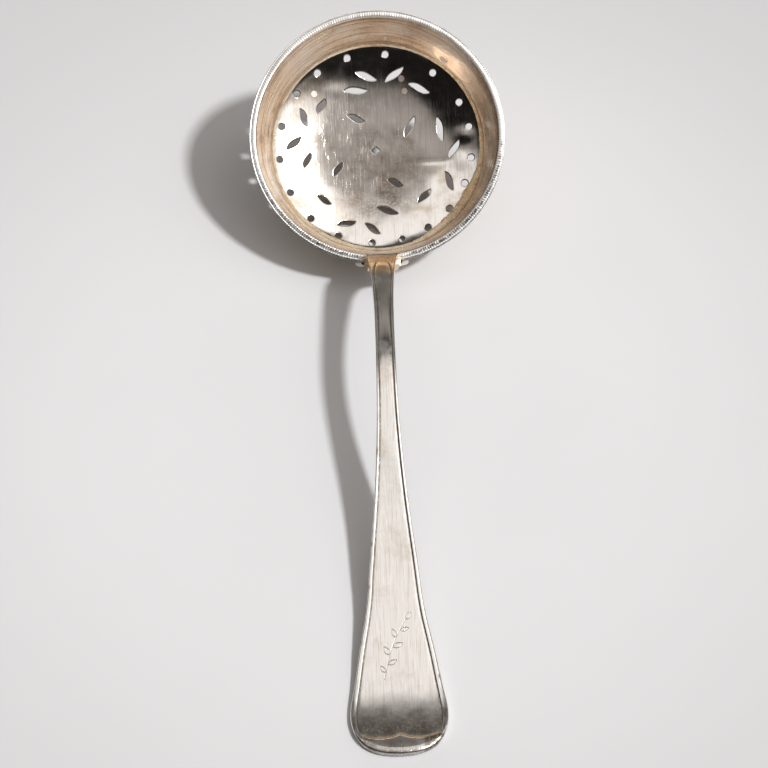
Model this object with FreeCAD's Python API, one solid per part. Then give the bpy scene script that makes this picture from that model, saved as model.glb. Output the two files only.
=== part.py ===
"""Sugar sifter spoon in silver: a tapered round bowl with a pierced dome for its floor,
a milled wire round its lip, and an arched handle with a threaded border.

The bowl is drawn about its own axis, with its lip in the plane z = 0 and the handle on its -Y side.
It is then tipped towards the handle, as the spoon lies on a table on its shoulder and its handle tip.
"""
import FreeCAD, Part
import math
import os

from FreeCAD import Vector

# Driving dimensions, in millimetres and degrees

# Side band and the wire round its lip
rim_radius = 30.0
wire_width = 0.95
wire_crown = 0.45
wire_height = 1.9
band_wall = 0.55
crease_radius = 25.1
crease_depth = 12.8
band_foot = 0.35

# Pierced dome
dome_wall = 0.6
dome_sag = 5.0

# Piercing, set out about a centre that stands a little off the bowl's axis
pierce_offset = 0.56
ring_inset = 2.1
ring_hole_radius = 0.8
leaf_length = 5.5
leaf_width = 1.6
centre_hole_side = 1.5

# Solder
solder_gap = 0.12
seam_leg = 0.7
rim_bead = 0.3

# Heel plate, the two-lobed tab under the lip that carries the handle
heel_thickness = 2.55
heel_foot_thickness = 0.9
heel_width = 12.8
heel_height = 5.6
heel_corner = 0.8

# Handle
handle_reach = 124.4
arch_height = 20.0
neck_rise = 3.6
foot_drop = 4.2
foot_thickness = 3.2
foot_end_thickness = 2.1
stem_thickness = 2.3
tip_thickness = 1.4
tip_flat = 9.0
flare_width = 9.5
neck_width = 4.4
end_width = 20.6
border_width = 1.4
neck_border_width = 0.75
border_height = 0.22
end_border = 3.7

# How the spoon lies
lying_tilt = 28.4
worn_flat = 0.12

# Cuts run this far past what they cut
overrun = 3.0

# Round holes: each one's angle clockwise from the far side, in degrees, spaced by hand
ring_turns = [8, 39, 63, 79, 98, 114, 132, 149, 166, 184, 204.5, 224, 244, 265, 285, 307, 325, 345]

# Leaf holes, four groups of four and an inner four: the angle clockwise from the far side, the distance
# from the centre as a share of the crease radius, how far the leaf leans from radial, and its length as
# a share of the leaf length
leaf_shares = [
    (-16, 0.61, -74, 1.04), (-5, 0.72, -65, 1.00), (16, 0.75, 38, 1.03), (37, 0.73, 79, 1.02),
    (74, 0.65, -85, 1.08), (92, 0.75, -61, 0.90), (116, 0.77, 44, 0.94), (136, 0.65, 89, 0.82),
    (171, 0.60, -63, 1.00), (184, 0.77, -56, 0.84), (203, 0.77, 56, 0.84), (227, 0.69, 75, 0.72),
    (263, 0.66, -61, 0.72), (276, 0.78, -49, 0.88), (296, 0.75, 43, 0.85), (311, 0.67, 79, 0.74),
    (-29, 0.36, -40, 0.82), (57, 0.40, -31, 1.00), (151, 0.37, -36, 0.74), (245, 0.40, -34, 0.78),
]

# One side of a leaf hole, from tip to tip: shares of its half width and of its half length.
# The other side is the same, turned half round, which gives the leaf its slight S.
leaf_side_shares = [(0, -1), (-0.95, -0.32), (-0.66, 0.36), (0, 1)]

# The handle's upper line beyond its straight rise: shares of the reach from the lip, and of the height
# between the tip's top and the top of the arch
side_line_shares = [
    (0.043, 0.815), (0.092, 0.909), (0.156, 0.973), (0.236, 1.0), (0.317, 0.952), (0.397, 0.823),
    (0.478, 0.650), (0.558, 0.473), (0.638, 0.328), (0.719, 0.204), (0.799, 0.096), (0.870, 0.025),
]

# Half widths of the handle from above: shares of the reach from the lip, and of the way
# from the neck's half width to the end's
stem_width_shares = [
    (0.14, 0.02), (0.26, 0.0), (0.36, 0.02), (0.46, 0.09), (0.56, 0.22), (0.67, 0.40), (0.74, 0.52),
    (0.80, 0.70), (0.88, 0.91), (0.935, 1.0),
]

# The flare at the lip: its middle, as shares of its length and of the way out to the flare's width
flare_end_share = 0.05
flare_middle_shares = (0.24, 0.34)

# The rounded end: a shoulder, as shares of the reach and of the end's half width
end_shoulder_shares = (0.982, 0.74)

# The sunk panel: shares of the reach where its point begins and where it is full, and the corner, dip and
# peak of its brace-shaped end, as shares of the end's half width and of the border left round the end
panel_point_share = 0.07
panel_full_share = 0.12
brace_shares = [(0.80, 1.33), (0.50, 1.0), (0, 1.5)]

# The heel plate's lower outline: where its lobes and its middle drop meet, and how far up they meet
lobe_share = 0.36
notch_share = 0.30


def band_inner_radius(z):
    """Inner radius of the side band at height z, which is negative below the lip."""
    lip_inner = rim_radius - wire_width - solder_gap - band_wall
    return lip_inner + (lip_inner - crease_radius) * z / crease_depth


def band_outer_radius(z):
    return band_inner_radius(z) + band_wall


def revolved(points):
    """Solid made by turning a closed outline of (radius, height) points about the bowl's axis."""
    corners = [Vector(radius, 0, height) for radius, height in points]
    face = Part.Face(Part.makePolygon(corners + corners[:1]))
    return face.revolve(Vector(0, 0, 0), Vector(0, 0, 1), 360)


def prism(wire, start, travel):
    """Solid made by pushing a flat closed wire, first moved by start, along travel."""
    face = Part.Face(wire)
    face.translate(start)
    return face.extrude(travel)


def smooth_line(points):
    curve = Part.BSplineCurve()
    curve.interpolate(Points=points)
    return curve


def at_turn(radius, turn):
    """Point in the lip's plane at an angle clockwise from the far side, seen from above."""
    angle = math.radians(turn)
    return Vector(radius * math.sin(angle), radius * math.cos(angle), 0)


# Bowl

band_foot_depth = crease_depth + dome_wall + band_foot
dome_edge_radius = band_inner_radius(-crease_depth) - solder_gap
dome_radius = (dome_edge_radius ** 2 + dome_sag ** 2) / (2 * dome_sag)
dome_centre_height = dome_radius - crease_depth - dome_sag


def make_side_band():
    return revolved([
        (band_inner_radius(0), 0),
        (band_outer_radius(0), 0),
        (band_outer_radius(-band_foot_depth), -band_foot_depth),
        (band_inner_radius(-band_foot_depth), -band_foot_depth),
    ])


def round_hole_cutter(centre, radius, depth):
    return Part.makeCylinder(radius, depth, centre - Vector(0, 0, depth))


def leaf_cutter(centre, axis_turn, length, depth):
    """Cutter for one leaf hole, its long axis at the given angle clockwise from the far side."""
    one_side = [Vector(across * leaf_width / 2, along * length / 2, 0) for across, along in leaf_side_shares]
    other_side = [Vector(-point.x, -point.y, 0) for point in one_side]
    wire = Part.Wire([smooth_line(one_side).toShape(), smooth_line(other_side).toShape()])
    cutter = prism(wire, Vector(0, 0, -depth), Vector(0, 0, depth))
    cutter.rotate(Vector(0, 0, 0), Vector(0, 0, 1), -axis_turn)
    cutter.translate(centre)
    return cutter


def square_cutter(centre, side, depth):
    """Cutter for the small square hole at the centre, set cornerwise."""
    cutter = Part.makeBox(side, side, depth, Vector(-side / 2, -side / 2, -depth))
    cutter.rotate(Vector(0, 0, 0), Vector(0, 0, 1), 45)
    cutter.translate(centre)
    return cutter


def make_pierced_dome():
    """Shallow dome of sheet whose edge follows the band's taper, with its holes cut square to the lip."""
    inner = Part.makeSphere(dome_radius, Vector(0, 0, dome_centre_height))
    outer = Part.makeSphere(dome_radius + dome_wall, Vector(0, 0, dome_centre_height))
    edge_top = -crease_depth
    edge_foot = -crease_depth - dome_sag - dome_wall - overrun
    blank = revolved([
        (0, edge_top),
        (band_inner_radius(edge_top) - solder_gap, edge_top),
        (band_inner_radius(edge_foot) - solder_gap, edge_foot),
        (0, edge_foot),
    ])
    dome = blank.common(outer).cut(inner)
    pierce_centre = Vector(-pierce_offset, 0, 0)
    depth = crease_depth + dome_sag + dome_wall + overrun
    cutters = [square_cutter(pierce_centre, centre_hole_side, depth)]
    for turn in ring_turns:
        cutters.append(round_hole_cutter(pierce_centre + at_turn(crease_radius - ring_inset, turn), ring_hole_radius, depth))
    for turn, reach_share, lean, length_share in leaf_shares:
        place = pierce_centre + at_turn(crease_radius * reach_share, turn)
        cutters.append(leaf_cutter(place, turn + lean, leaf_length * length_share, depth))
    return dome.cut(Part.makeCompound(cutters))


def make_dome_solder(band, dome):
    """Solder that fills the joint between dome and band and lies as a fillet along the crease."""
    top = seam_leg - crease_depth
    foot = -crease_depth - dome_wall
    blank = revolved([
        (band_inner_radius(top), top),
        (band_inner_radius(foot), foot),
        (band_inner_radius(foot) - solder_gap - dome_wall, foot),
        (dome_edge_radius - seam_leg, -crease_depth),
    ])
    inside = Part.makeSphere(dome_radius, Vector(0, 0, dome_centre_height))
    joint = revolved([
        (band_inner_radius(top), top),
        (band_inner_radius(foot), foot),
        (band_inner_radius(foot) - solder_gap, foot),
        (band_inner_radius(top) - solder_gap, top),
    ])
    fillet = blank.common(inside)
    return fillet.fuse(joint.common(blank)).cut(dome).cut(band).removeSplitter()


def make_rim_wire():
    """Wire with a crowned outer face, its flat side on the solder, running round outside the lip."""
    top = Vector(band_outer_radius(0) + solder_gap, 0, 0)
    foot = Vector(band_outer_radius(-wire_height) + solder_gap, 0, -wire_height)
    shoulder = Vector(rim_radius - wire_crown, 0, 0)
    crown = Vector(rim_radius, 0, -wire_height / 2)
    low_shoulder = Vector(rim_radius - wire_crown, 0, -wire_height)
    section = Part.Wire([
        Part.LineSegment(top, shoulder).toShape(),
        Part.Arc(shoulder, crown, low_shoulder).toShape(),
        Part.LineSegment(low_shoulder, foot).toShape(),
        Part.LineSegment(foot, top).toShape(),
    ])
    return Part.Face(section).revolve(Vector(0, 0, 0), Vector(0, 0, 1), 360)


def solder_skin(top, foot):
    """Thin layer of solder on the outside of the band between two heights."""
    return revolved([
        (band_outer_radius(top), top),
        (band_outer_radius(top) + solder_gap, top),
        (band_outer_radius(foot) + solder_gap, foot),
        (band_outer_radius(foot), foot),
    ])


def bowl_envelope(skin):
    """Everything inside the outer face of the band, thickened by skin, from below its foot to the lip."""
    foot = -band_foot_depth - overrun
    return revolved([
        (0, 0),
        (band_outer_radius(0) + skin, 0),
        (band_outer_radius(foot) + skin, foot),
        (0, foot),
    ])


# Heel plate

def heel_blank():
    """Plate that wraps the band behind the handle, still running on into the bowl's wall."""
    top = -wire_height
    foot = top - heel_height
    top_front = band_outer_radius(top) + solder_gap + heel_thickness
    foot_front = band_outer_radius(foot) + solder_gap + heel_foot_thickness
    back = min(band_outer_radius(top), band_outer_radius(foot)) - overrun
    section = Part.Face(Part.makePolygon([
        Vector(0, -back, foot),
        Vector(0, -back, top),
        Vector(0, -top_front, top),
        Vector(0, -foot_front, foot),
        Vector(0, -back, foot),
    ]))
    half_turn = math.degrees(math.asin(heel_width / 2 / top_front))
    section.rotate(Vector(0, 0, 0), Vector(0, 0, 1), -half_turn)
    plate = section.revolve(Vector(0, 0, 0), Vector(0, 0, 1), 2 * half_turn)
    upright = []
    for edge in plate.Edges:
        ends = [vertex.Point for vertex in edge.Vertexes]
        heights = sorted(point.z for point in ends)
        outside = min(math.hypot(point.x, point.y) for point in ends) > back + overrun / 2
        if heights[-1] - heights[0] > heel_height / 2 and outside:
            upright.append(edge)
    return plate.makeFillet(heel_corner, upright)


def heel_outline():
    """Prism that trims the plate's lower edge to a lobe at each side and a drop in the middle."""
    top = overrun - wire_height
    foot = -wire_height - heel_height
    notch_height = foot + heel_height * notch_share
    half = heel_width / 2 + overrun
    notch = heel_width / 2 * lobe_share
    lobe_foot = foot + heel_height * notch_share / 2
    left_notch = Vector(-notch, 0, notch_height)
    right_notch = Vector(notch, 0, notch_height)
    left_side = Vector(-heel_width / 2, 0, notch_height)
    right_side = Vector(heel_width / 2, 0, notch_height)
    lobe_middle = (heel_width / 2 + notch) / 2
    wire = Part.Wire([
        Part.LineSegment(Vector(-half, 0, top), Vector(-half, 0, notch_height)).toShape(),
        Part.LineSegment(Vector(-half, 0, notch_height), left_side).toShape(),
        Part.Arc(left_side, Vector(-lobe_middle, 0, lobe_foot), left_notch).toShape(),
        Part.Arc(left_notch, Vector(0, 0, foot), right_notch).toShape(),
        Part.Arc(right_notch, Vector(lobe_middle, 0, lobe_foot), right_side).toShape(),
        Part.LineSegment(right_side, Vector(half, 0, notch_height)).toShape(),
        Part.LineSegment(Vector(half, 0, notch_height), Vector(half, 0, top)).toShape(),
        Part.LineSegment(Vector(half, 0, top), Vector(-half, 0, top)).toShape(),
    ])
    return prism(wire, Vector(0, 0, 0), Vector(0, -rim_radius - heel_thickness - overrun, 0))


# How the bowl lies: its own frame is tipped about X towards the handle, then lifted onto the table

tilt = math.radians(lying_tilt)


def tipped(shape):
    result = shape.copy()
    result.rotate(Vector(0, 0, 0), Vector(1, 0, 0), lying_tilt)
    return result


def laid(shape, lift):
    result = tipped(shape)
    result.translate(Vector(0, 0, lift))
    return result


def laid_point(outward, height, lift):
    """Side-view point (y, z) for a distance outward from the bowl's axis, on the handle's side, and a
    height above the lip."""
    return Vector(0, -outward * math.cos(tilt) - height * math.sin(tilt),
                  -outward * math.sin(tilt) + height * math.cos(tilt) + lift)


# Handle, drawn as it lies: a side view pushed across, trimmed by its outline from above

def side_view(lift):
    """Closed side view of the handle from its foot on the band to its flat tip, and its root's place."""
    root = laid_point(band_outer_radius(0) + solder_gap, 0, lift)
    neck = laid_point(band_outer_radius(0) + solder_gap, neck_rise, lift)
    rise = arch_height - tip_thickness
    tip_y = root.y - handle_reach
    upper = [root, neck]
    for reach_share, rise_share in side_line_shares:
        upper.append(Vector(0, root.y - reach_share * handle_reach, tip_thickness + rise_share * rise))
    flat_start = Vector(0, tip_y + tip_flat, tip_thickness)
    upper.append(flat_start)
    upper_curve = smooth_line(upper)
    heel_front = laid_point(band_outer_radius(0) + solder_gap + foot_thickness, 0, lift)
    lower = [heel_front]
    for place in upper[2:-1]:
        tangent = upper_curve.tangent(upper_curve.parameter(place))[0]
        inward = Vector(0, -tangent.z, tangent.y)
        share = (root.y - place.y) / handle_reach
        lower.append(place + inward * (stem_thickness + (tip_thickness - stem_thickness) * share))
    lower.append(Vector(0, flat_start.y, 0))
    lower_curve = smooth_line(lower)
    foot_front = laid_point(band_outer_radius(-foot_drop) + solder_gap + foot_end_thickness, -foot_drop, lift)
    foot_back = laid_point(band_outer_radius(-foot_drop) - overrun, -foot_drop, lift)
    lip_back = laid_point(band_outer_radius(-foot_drop) - overrun, 0, lift)
    tip_top = Vector(0, tip_y, tip_thickness)
    tip_foot = Vector(0, tip_y, 0)
    wire = Part.Wire([
        Part.LineSegment(foot_back, lip_back).toShape(),
        Part.LineSegment(lip_back, root).toShape(),
        upper_curve.toShape(),
        Part.LineSegment(flat_start, tip_top).toShape(),
        Part.LineSegment(tip_top, tip_foot).toShape(),
        Part.LineSegment(tip_foot, lower[-1]).toShape(),
        lower_curve.toShape(),
        Part.LineSegment(heel_front, foot_front).toShape(),
        Part.LineSegment(foot_front, foot_back).toShape(),
    ])
    return wire, root, upper_curve, flat_start


def half_width(width_share):
    return (neck_width + (end_width - neck_width) * width_share) / 2


def plan_outline(root_y):
    """The handle's outline from above: flared at the lip, waisted at the neck, broad and round at the end."""
    def at(reach_share, across):
        return Vector(across, root_y - reach_share * handle_reach, 0)
    waist = half_width(stem_width_shares[0][1])
    flare_share, spread_share = flare_middle_shares
    flare_start = at(0, flare_width / 2)
    flare_middle = at(flare_end_share * flare_share, waist + (flare_width / 2 - waist) * spread_share)
    flare_end = at(flare_end_share, waist)
    right = [flare_end] + [at(reach, half_width(width)) for reach, width in stem_width_shares]
    shoulder_reach, shoulder_share = end_shoulder_shares
    right.append(at(shoulder_reach, end_width / 2 * shoulder_share))
    left = [Vector(-point.x, point.y, 0) for point in reversed(right)]
    back = root_y + foot_drop + overrun
    sides = [
        Part.LineSegment(Vector(flare_width / 2, back, 0), flare_start).toShape(),
        Part.Arc(flare_start, flare_middle, flare_end).toShape(),
    ]
    mirrored = [edge.mirror(Vector(0, 0, 0), Vector(1, 0, 0)) for edge in sides]
    round_end = smooth_line(right + [at(1, 0)] + left).toShape()
    closing = Part.LineSegment(Vector(-flare_width / 2, back, 0), Vector(flare_width / 2, back, 0)).toShape()
    return Part.Wire(Part.__sortEdges__(sides + mirrored + [round_end, closing]))


def panel_outline(root_y):
    """Outline of the sunk panel inside the threaded border, with a point at the neck and a brace-shaped end."""
    def at(reach_share, across):
        return Vector(across, root_y - reach_share * handle_reach, 0)
    right = [at(panel_point_share, 0), at(panel_full_share, neck_width / 2 - neck_border_width)]
    for reach, width in stem_width_shares:
        border = neck_border_width + (border_width - neck_border_width) * width
        right.append(at(reach, half_width(width) - border))
    tip_y = root_y - handle_reach
    corner, dip, peak = [Vector(end_width / 2 * across, tip_y + end_border * up, 0) for across, up in brace_shares]
    edges = [smooth_line(right + [corner]).toShape(), Part.Arc(corner, dip, peak).toShape()]
    mirrored = [edge.mirror(Vector(0, 0, 0), Vector(1, 0, 0)) for edge in edges]
    return Part.Wire(Part.__sortEdges__(edges + mirrored))


def make_handle(lift, envelope):
    """Handle with a sunk panel that leaves a raised thread along both edges and round the end."""
    profile, root, upper_curve, flat_start = side_view(lift)
    across = end_width + overrun
    slab = prism(profile, Vector(-across / 2, 0, 0), Vector(across, 0, 0))
    tall = arch_height + overrun
    column = prism(plan_outline(root.y), Vector(0, 0, -overrun), Vector(0, 0, tall + overrun))
    handle = slab.common(column).cut(envelope)
    upper_edge = upper_curve.toShape()
    tip_top = Vector(0, root.y - handle_reach, tip_thickness)
    sunk_line = [upper_edge, Part.LineSegment(flat_start, tip_top).toShape()]
    sheet = Part.Wire(sunk_line).extrude(Vector(across, 0, 0))
    sheet.translate(Vector(-across / 2, 0, -border_height))
    above = sheet.extrude(Vector(0, 0, tall))
    panel = prism(panel_outline(root.y), Vector(0, 0, -overrun), Vector(0, 0, tall + overrun))
    return handle.cut(above.common(panel)), root


def make_parts():
    band = make_side_band()
    dome = make_pierced_dome()
    dome_solder = make_dome_solder(band, dome)
    wire = make_rim_wire()
    bowl_box = tipped(band).fuse(tipped(dome)).optimalBoundingBox()
    lift = -bowl_box.ZMin - worn_flat
    envelope = laid(bowl_envelope(solder_gap), lift)
    handle, root = make_handle(lift, envelope)
    heel = laid(heel_blank().common(heel_outline()), lift)
    foot_zone = handle_foot_zone(lift)
    handle_solder = laid(solder_skin(0, -wire_height - heel_height), lift).common(heel.fuse(foot_zone))
    rim_solder = laid(solder_skin(0, -wire_height - rim_bead), lift).cut(handle_solder)
    parts = {
        "pierced_dome": laid(dome, lift),
        "side_band": laid(band, lift),
        "dome_solder": laid(dome_solder, lift),
        "rim_wire": laid(wire, lift).cut(handle),
        "rim_solder": rim_solder,
        "heel_plate": heel.cut(envelope).cut(handle),
        "handle_solder": handle_solder,
        "handle": handle,
    }
    table = Part.makeBox(2 * rim_radius + end_width, 2 * rim_radius + handle_reach + 2 * overrun, overrun)
    table.translate(Vector(-rim_radius - end_width / 2, -rim_radius - handle_reach - overrun, -overrun))
    return {name: shape.cut(table) for name, shape in parts.items()}


def handle_foot_zone(lift):
    """The handle's foot as it would run on through the band's wall, to give its solder the same outline."""
    zone = Part.makeBox(flare_width, 2 * overrun, foot_drop)
    zone.translate(Vector(-flare_width / 2, -band_outer_radius(0) - overrun, -foot_drop))
    return laid(zone, lift)


def centred_on_table(parts):
    """Move all parts alike, so that the whole spoon's box stands centred on the origin."""
    box = Part.makeCompound(list(parts.values())).optimalBoundingBox()
    shift = Vector(-(box.XMin + box.XMax) / 2, -(box.YMin + box.YMax) / 2, 0)
    for shape in parts.values():
        shape.translate(shift)
    return shift


def main():
    parts = make_parts()
    shift = centred_on_table(parts)
    os.makedirs("parts", exist_ok=True)
    for name, shape in parts.items():
        shape.exportStep("parts/" + name + ".step")
        print(name, "solids", len(shape.Solids), "valid", shape.isValid(), "volume", round(shape.Volume, 2))
    print("bowl axis meets the lip plane at y", round(shift.y, 3))


main()
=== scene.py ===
"""Looks for an old silver sugar sifter spoon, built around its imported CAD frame.

Sizes are in millimetres, as in the part's own table, and meshes are made in metres. The bowl's pieces
are drawn about the bowl's axis, with the lip in the plane z = 0, and then tipped as they lie. A turn is
an angle about that axis, clockwise from the bowl's far side, so that the handle stands at 180 degrees.
"""

import logging
import math
import random
from dataclasses import dataclass
from enum import Enum
from typing import ClassVar, Sequence

import bmesh
import bpy
import numpy as np
from mathutils import Matrix, Vector
from mathutils.geometry import delaunay_2d_cdt


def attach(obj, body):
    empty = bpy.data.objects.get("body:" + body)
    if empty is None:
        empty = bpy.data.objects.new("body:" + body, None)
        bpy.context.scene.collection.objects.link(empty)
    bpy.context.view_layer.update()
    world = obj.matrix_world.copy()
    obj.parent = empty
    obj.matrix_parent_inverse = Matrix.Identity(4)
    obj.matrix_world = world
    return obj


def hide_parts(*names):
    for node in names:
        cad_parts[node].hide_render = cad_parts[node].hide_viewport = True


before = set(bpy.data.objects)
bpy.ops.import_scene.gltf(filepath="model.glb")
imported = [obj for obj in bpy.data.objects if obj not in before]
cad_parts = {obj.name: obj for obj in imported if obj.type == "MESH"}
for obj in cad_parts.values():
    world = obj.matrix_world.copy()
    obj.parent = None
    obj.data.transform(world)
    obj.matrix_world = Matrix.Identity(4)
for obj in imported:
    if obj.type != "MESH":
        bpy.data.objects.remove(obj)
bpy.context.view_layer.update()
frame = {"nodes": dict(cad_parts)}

Amount = np.ndarray | float
Colour = tuple[float, float, float]
Piece = bpy.types.Object
Socket = bpy.types.NodeSocket

MM = 0.001
TINY = 1e-6
LOG = logging.getLogger("sifter")

# How the bowl lies on the table
LYING_TILT = math.radians(28.4)
LIP_CENTRE = (0.0, 60.533, 24.059)
BOWL_PLACE = Matrix.Translation(Vector(LIP_CENTRE) * MM) @ Matrix.Rotation(LYING_TILT, 4, "X")

# Sizes that several pieces share
RIM_RADIUS = 30.0
WIRE_WIDTH = 0.95
WIRE_HEIGHT = 1.9
SOLDER_GAP = 0.12
BAND_WALL = 0.55
CREASE_RADIUS = 25.1
CREASE_DEPTH = 12.8
LIP_INNER = RIM_RADIUS - WIRE_WIDTH - SOLDER_GAP - BAND_WALL

# Dirt in the join between the wall and the milled band, with a painted shadow of the rim: the turn where it
# is darkest, and its spread
RIM_SHADOW_TURN = 110.0
RIM_SHADOW_SPREAD = 60.0


class Mark(Enum):
    """Values kept on a mesh's points for its material to read: dirt together with painted shade, wear
    together with painted highlights and reflections, and plain polish.
    """

    GRIME = "grime"
    WEAR = "wear"
    OUTSIDE = "outside"


def band_inner_radius(height: float) -> float:
    """Inner radius of the side band at a height, which is negative below the lip."""
    return LIP_INNER + (LIP_INNER - CREASE_RADIUS) * height / CREASE_DEPTH


def smooth_step(value: Amount) -> Amount:
    """Ease from 0 to 1 as value goes from 0 to 1."""
    clipped = np.clip(value, 0.0, 1.0)
    return clipped * clipped * (3.0 - 2.0 * clipped)


def bell(gap: Amount, spread: float) -> Amount:
    """Give 1 where the gap is nought, and fade over the spread to both sides."""
    return np.exp(-(gap / spread) ** 2)


def rim_shadow_at(turned: Amount) -> Amount:
    """How dark the painted shadow of the rim along the lip is at a turn, from 0 to 1."""
    return bell(turned - RIM_SHADOW_TURN, RIM_SHADOW_SPREAD)


def unit_rows(rows: np.ndarray) -> np.ndarray:
    """Scale each row to a length of one."""
    return rows / np.linalg.norm(rows, axis=1)[:, None]


def unit_circle(count: int) -> np.ndarray:
    """Points round a circle of radius one."""
    around = np.linspace(0, 2 * math.pi, count, endpoint=False)
    return np.stack([np.cos(around), np.sin(around)], 1)


def length_along(line: np.ndarray) -> np.ndarray:
    """Length along a line in a plane, at each of its points."""
    return np.concatenate([[0.0], np.cumsum(np.hypot(*np.diff(line, axis=0).T))])


def spline_through(points: Sequence[Sequence[float]], per_run: int = 16) -> np.ndarray:
    """Sample a smooth cubic through some points, spaced by chord length.

    Args:
        points: at least four points, in any number of dimensions.
        per_run: how many samples each run between two points gets.

    Returns:
        The samples, one row each, with the last given point at the end.
    """
    given = np.asarray(points, float)
    knots = np.concatenate([[0.0], np.cumsum(np.sqrt((np.diff(given, axis=0) ** 2).sum(1)))])
    steps = np.diff(knots)
    count = len(knots)
    matrix = np.zeros((count, count))
    right = np.zeros((count, given.shape[1]))
    matrix[0, :3] = steps[1], -(steps[0] + steps[1]), steps[0]
    matrix[-1, -3:] = steps[-1], -(steps[-2] + steps[-1]), steps[-2]
    for i in range(1, count - 1):
        matrix[i, i - 1:i + 2] = steps[i - 1], 2 * (steps[i - 1] + steps[i]), steps[i]
        slope_after = (given[i + 1] - given[i]) / steps[i]
        slope_before = (given[i] - given[i - 1]) / steps[i - 1]
        right[i] = 6 * (slope_after - slope_before)
    bend = np.linalg.solve(matrix, right)
    runs = [np.linspace(a, b, per_run, endpoint=False) for a, b in zip(knots, knots[1:])]
    place = np.concatenate(runs + [knots[-1:]])
    run = np.clip(np.searchsorted(knots, place, side="right") - 1, 0, count - 2)
    since = (place - knots[run])[:, None]
    until = (knots[run + 1] - place)[:, None]
    step = steps[run][:, None]
    cubic = (bend[run] * until ** 3 + bend[run + 1] * since ** 3) / (6 * step)
    low = (given[run] / step - bend[run] * step / 6) * until
    high = (given[run + 1] / step - bend[run + 1] * step / 6) * since
    return cubic + low + high


def arc_through(first: Sequence[float], middle: Sequence[float], last: Sequence[float],
                count: int) -> np.ndarray:
    """Sample the circle's arc through three points of a plane.

    Args:
        first: where the arc starts.
        middle: a point on it.
        last: where it ends.
        count: how many samples.

    Returns:
        The samples, one row each.
    """
    a, b, c = (np.asarray(p, float) for p in (first, middle, last))
    matrix = 2 * np.array([b - a, c - a])
    centre = np.linalg.solve(matrix, np.array([b @ b - a @ a, c @ c - a @ a]))
    radius = np.hypot(*(a - centre))
    angles = [math.atan2(*(p - centre)[::-1]) for p in (a, b, c)]
    turns = [(angle - angles[0]) % (2 * math.pi) for angle in angles]
    sweep = turns[2] if turns[1] < turns[2] else turns[2] - 2 * math.pi
    along = angles[0] + np.linspace(0, sweep, count)
    return centre + radius * np.stack([np.cos(along), np.sin(along)], 1)


def offset_ring(ring: np.ndarray, distance: float) -> np.ndarray:
    """Move a closed outline outward, square to itself, by a distance.

    Args:
        ring: the outline's corners in order, one row each.
        distance: how far to move it, negative for inward.

    Returns:
        The moved outline.
    """
    before = unit_rows(ring - np.roll(ring, 1, 0))
    after = unit_rows(np.roll(ring, -1, 0) - ring)
    along = unit_rows(before + after)
    area = (ring[:, 0] * np.roll(ring[:, 1], -1) - ring[:, 1] * np.roll(ring[:, 0], -1)).sum() / 2
    sign = 1 if area > 0 else -1
    return ring + sign * distance * np.stack([along[:, 1], -along[:, 0]], 1)


def inside(points: np.ndarray, ring: np.ndarray) -> np.ndarray:
    """Tell which points lie inside a closed outline.

    Args:
        points: one row each.
        ring: the outline's corners in order, one row each.

    Returns:
        One truth value for each point.
    """
    result = np.zeros(len(points), bool)
    x, y = points[:, 0], points[:, 1]
    for (ax, ay), (bx, by) in zip(ring, np.roll(ring, -1, 0)):
        if ay != by:
            crosses = (ay > y) != (by > y)
            result ^= crosses & (x < ax + (y - ay) * (bx - ax) / (by - ay))
    return result


def distance_to(points: np.ndarray, line: np.ndarray, chunk: int = 64) -> np.ndarray:
    """Least distance from each point to the corners of a finely drawn line, taken in chunks.

    Args:
        points: one row each.
        line: the line's corners, one row each.
        chunk: how many corners are taken at once.

    Returns:
        One distance for each point.
    """
    best = np.full(len(points), np.inf)
    for start in range(0, len(line), chunk):
        part = line[start:start + chunk]
        gaps = np.sqrt(((points[:, None, :] - part[None]) ** 2).sum(2)).min(1)
        best = np.minimum(best, gaps)
    return best


def hex_points(low: Sequence[float], high: Sequence[float], pitch: float) -> np.ndarray:
    """Points on a triangular lattice over a rectangle.

    Args:
        low: the rectangle's lowest corner.
        high: its highest corner.
        pitch: how far apart the points stand.

    Returns:
        One row for each point.
    """
    rows = np.arange(low[1], high[1], pitch * math.sqrt(3) / 2)
    points = []
    for number, y in enumerate(rows):
        x = np.arange(low[0] + (number % 2) * pitch / 2, high[0], pitch)
        points.append(np.stack([x, np.full_like(x, y)], 1))
    return np.concatenate(points)


def triangulate(points: np.ndarray, loops: Sequence[int]) -> tuple[np.ndarray, np.ndarray, np.ndarray]:
    """Join points of a plane into triangles that keep to some closed loops.

    Args:
        points: one row each, with the loops' points first and in order.
        loops: how many points each loop has.

    Returns:
        The mesh's points, its triangles, and the number that each given point has in it.
    """
    edges, start = [], 0
    for count in loops:
        edges += [(start + i, start + (i + 1) % count) for i in range(count)]
        start += count
    result = delaunay_2d_cdt([Vector(p) for p in points], edges, [], 0, TINY)
    numbers = np.full(len(points), -1)
    for index, sources in enumerate(result[3]):
        for source in sources:
            numbers[source] = index
    return np.array([tuple(p) for p in result[0]]), np.array(result[2]), numbers


@dataclass
class Ripple:
    """Slow unevenness of hand-worked sheet, as a sum of a few seeded waves."""

    seed: int
    depth: float
    length: float
    waves: int = 9
    length_shares: tuple[float, float] = (0.6, 1.8)

    def __post_init__(self) -> None:
        """Draw the waves' directions, lengths and phases."""
        draw = random.Random(self.seed)
        self.terms = []
        for _ in range(self.waves):
            turn = draw.uniform(0, 2 * math.pi)
            number = 2 * math.pi / (self.length * draw.uniform(*self.length_shares))
            phase = draw.uniform(0, 2 * math.pi)
            self.terms.append((number * math.cos(turn), number * math.sin(turn), phase))

    def at(self, x: np.ndarray, y: np.ndarray) -> np.ndarray:
        """Height of the unevenness at some places."""
        total = sum(np.sin(a * x + b * y + phase) for a, b, phase in self.terms)
        return self.depth * total / math.sqrt(self.waves)


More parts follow.
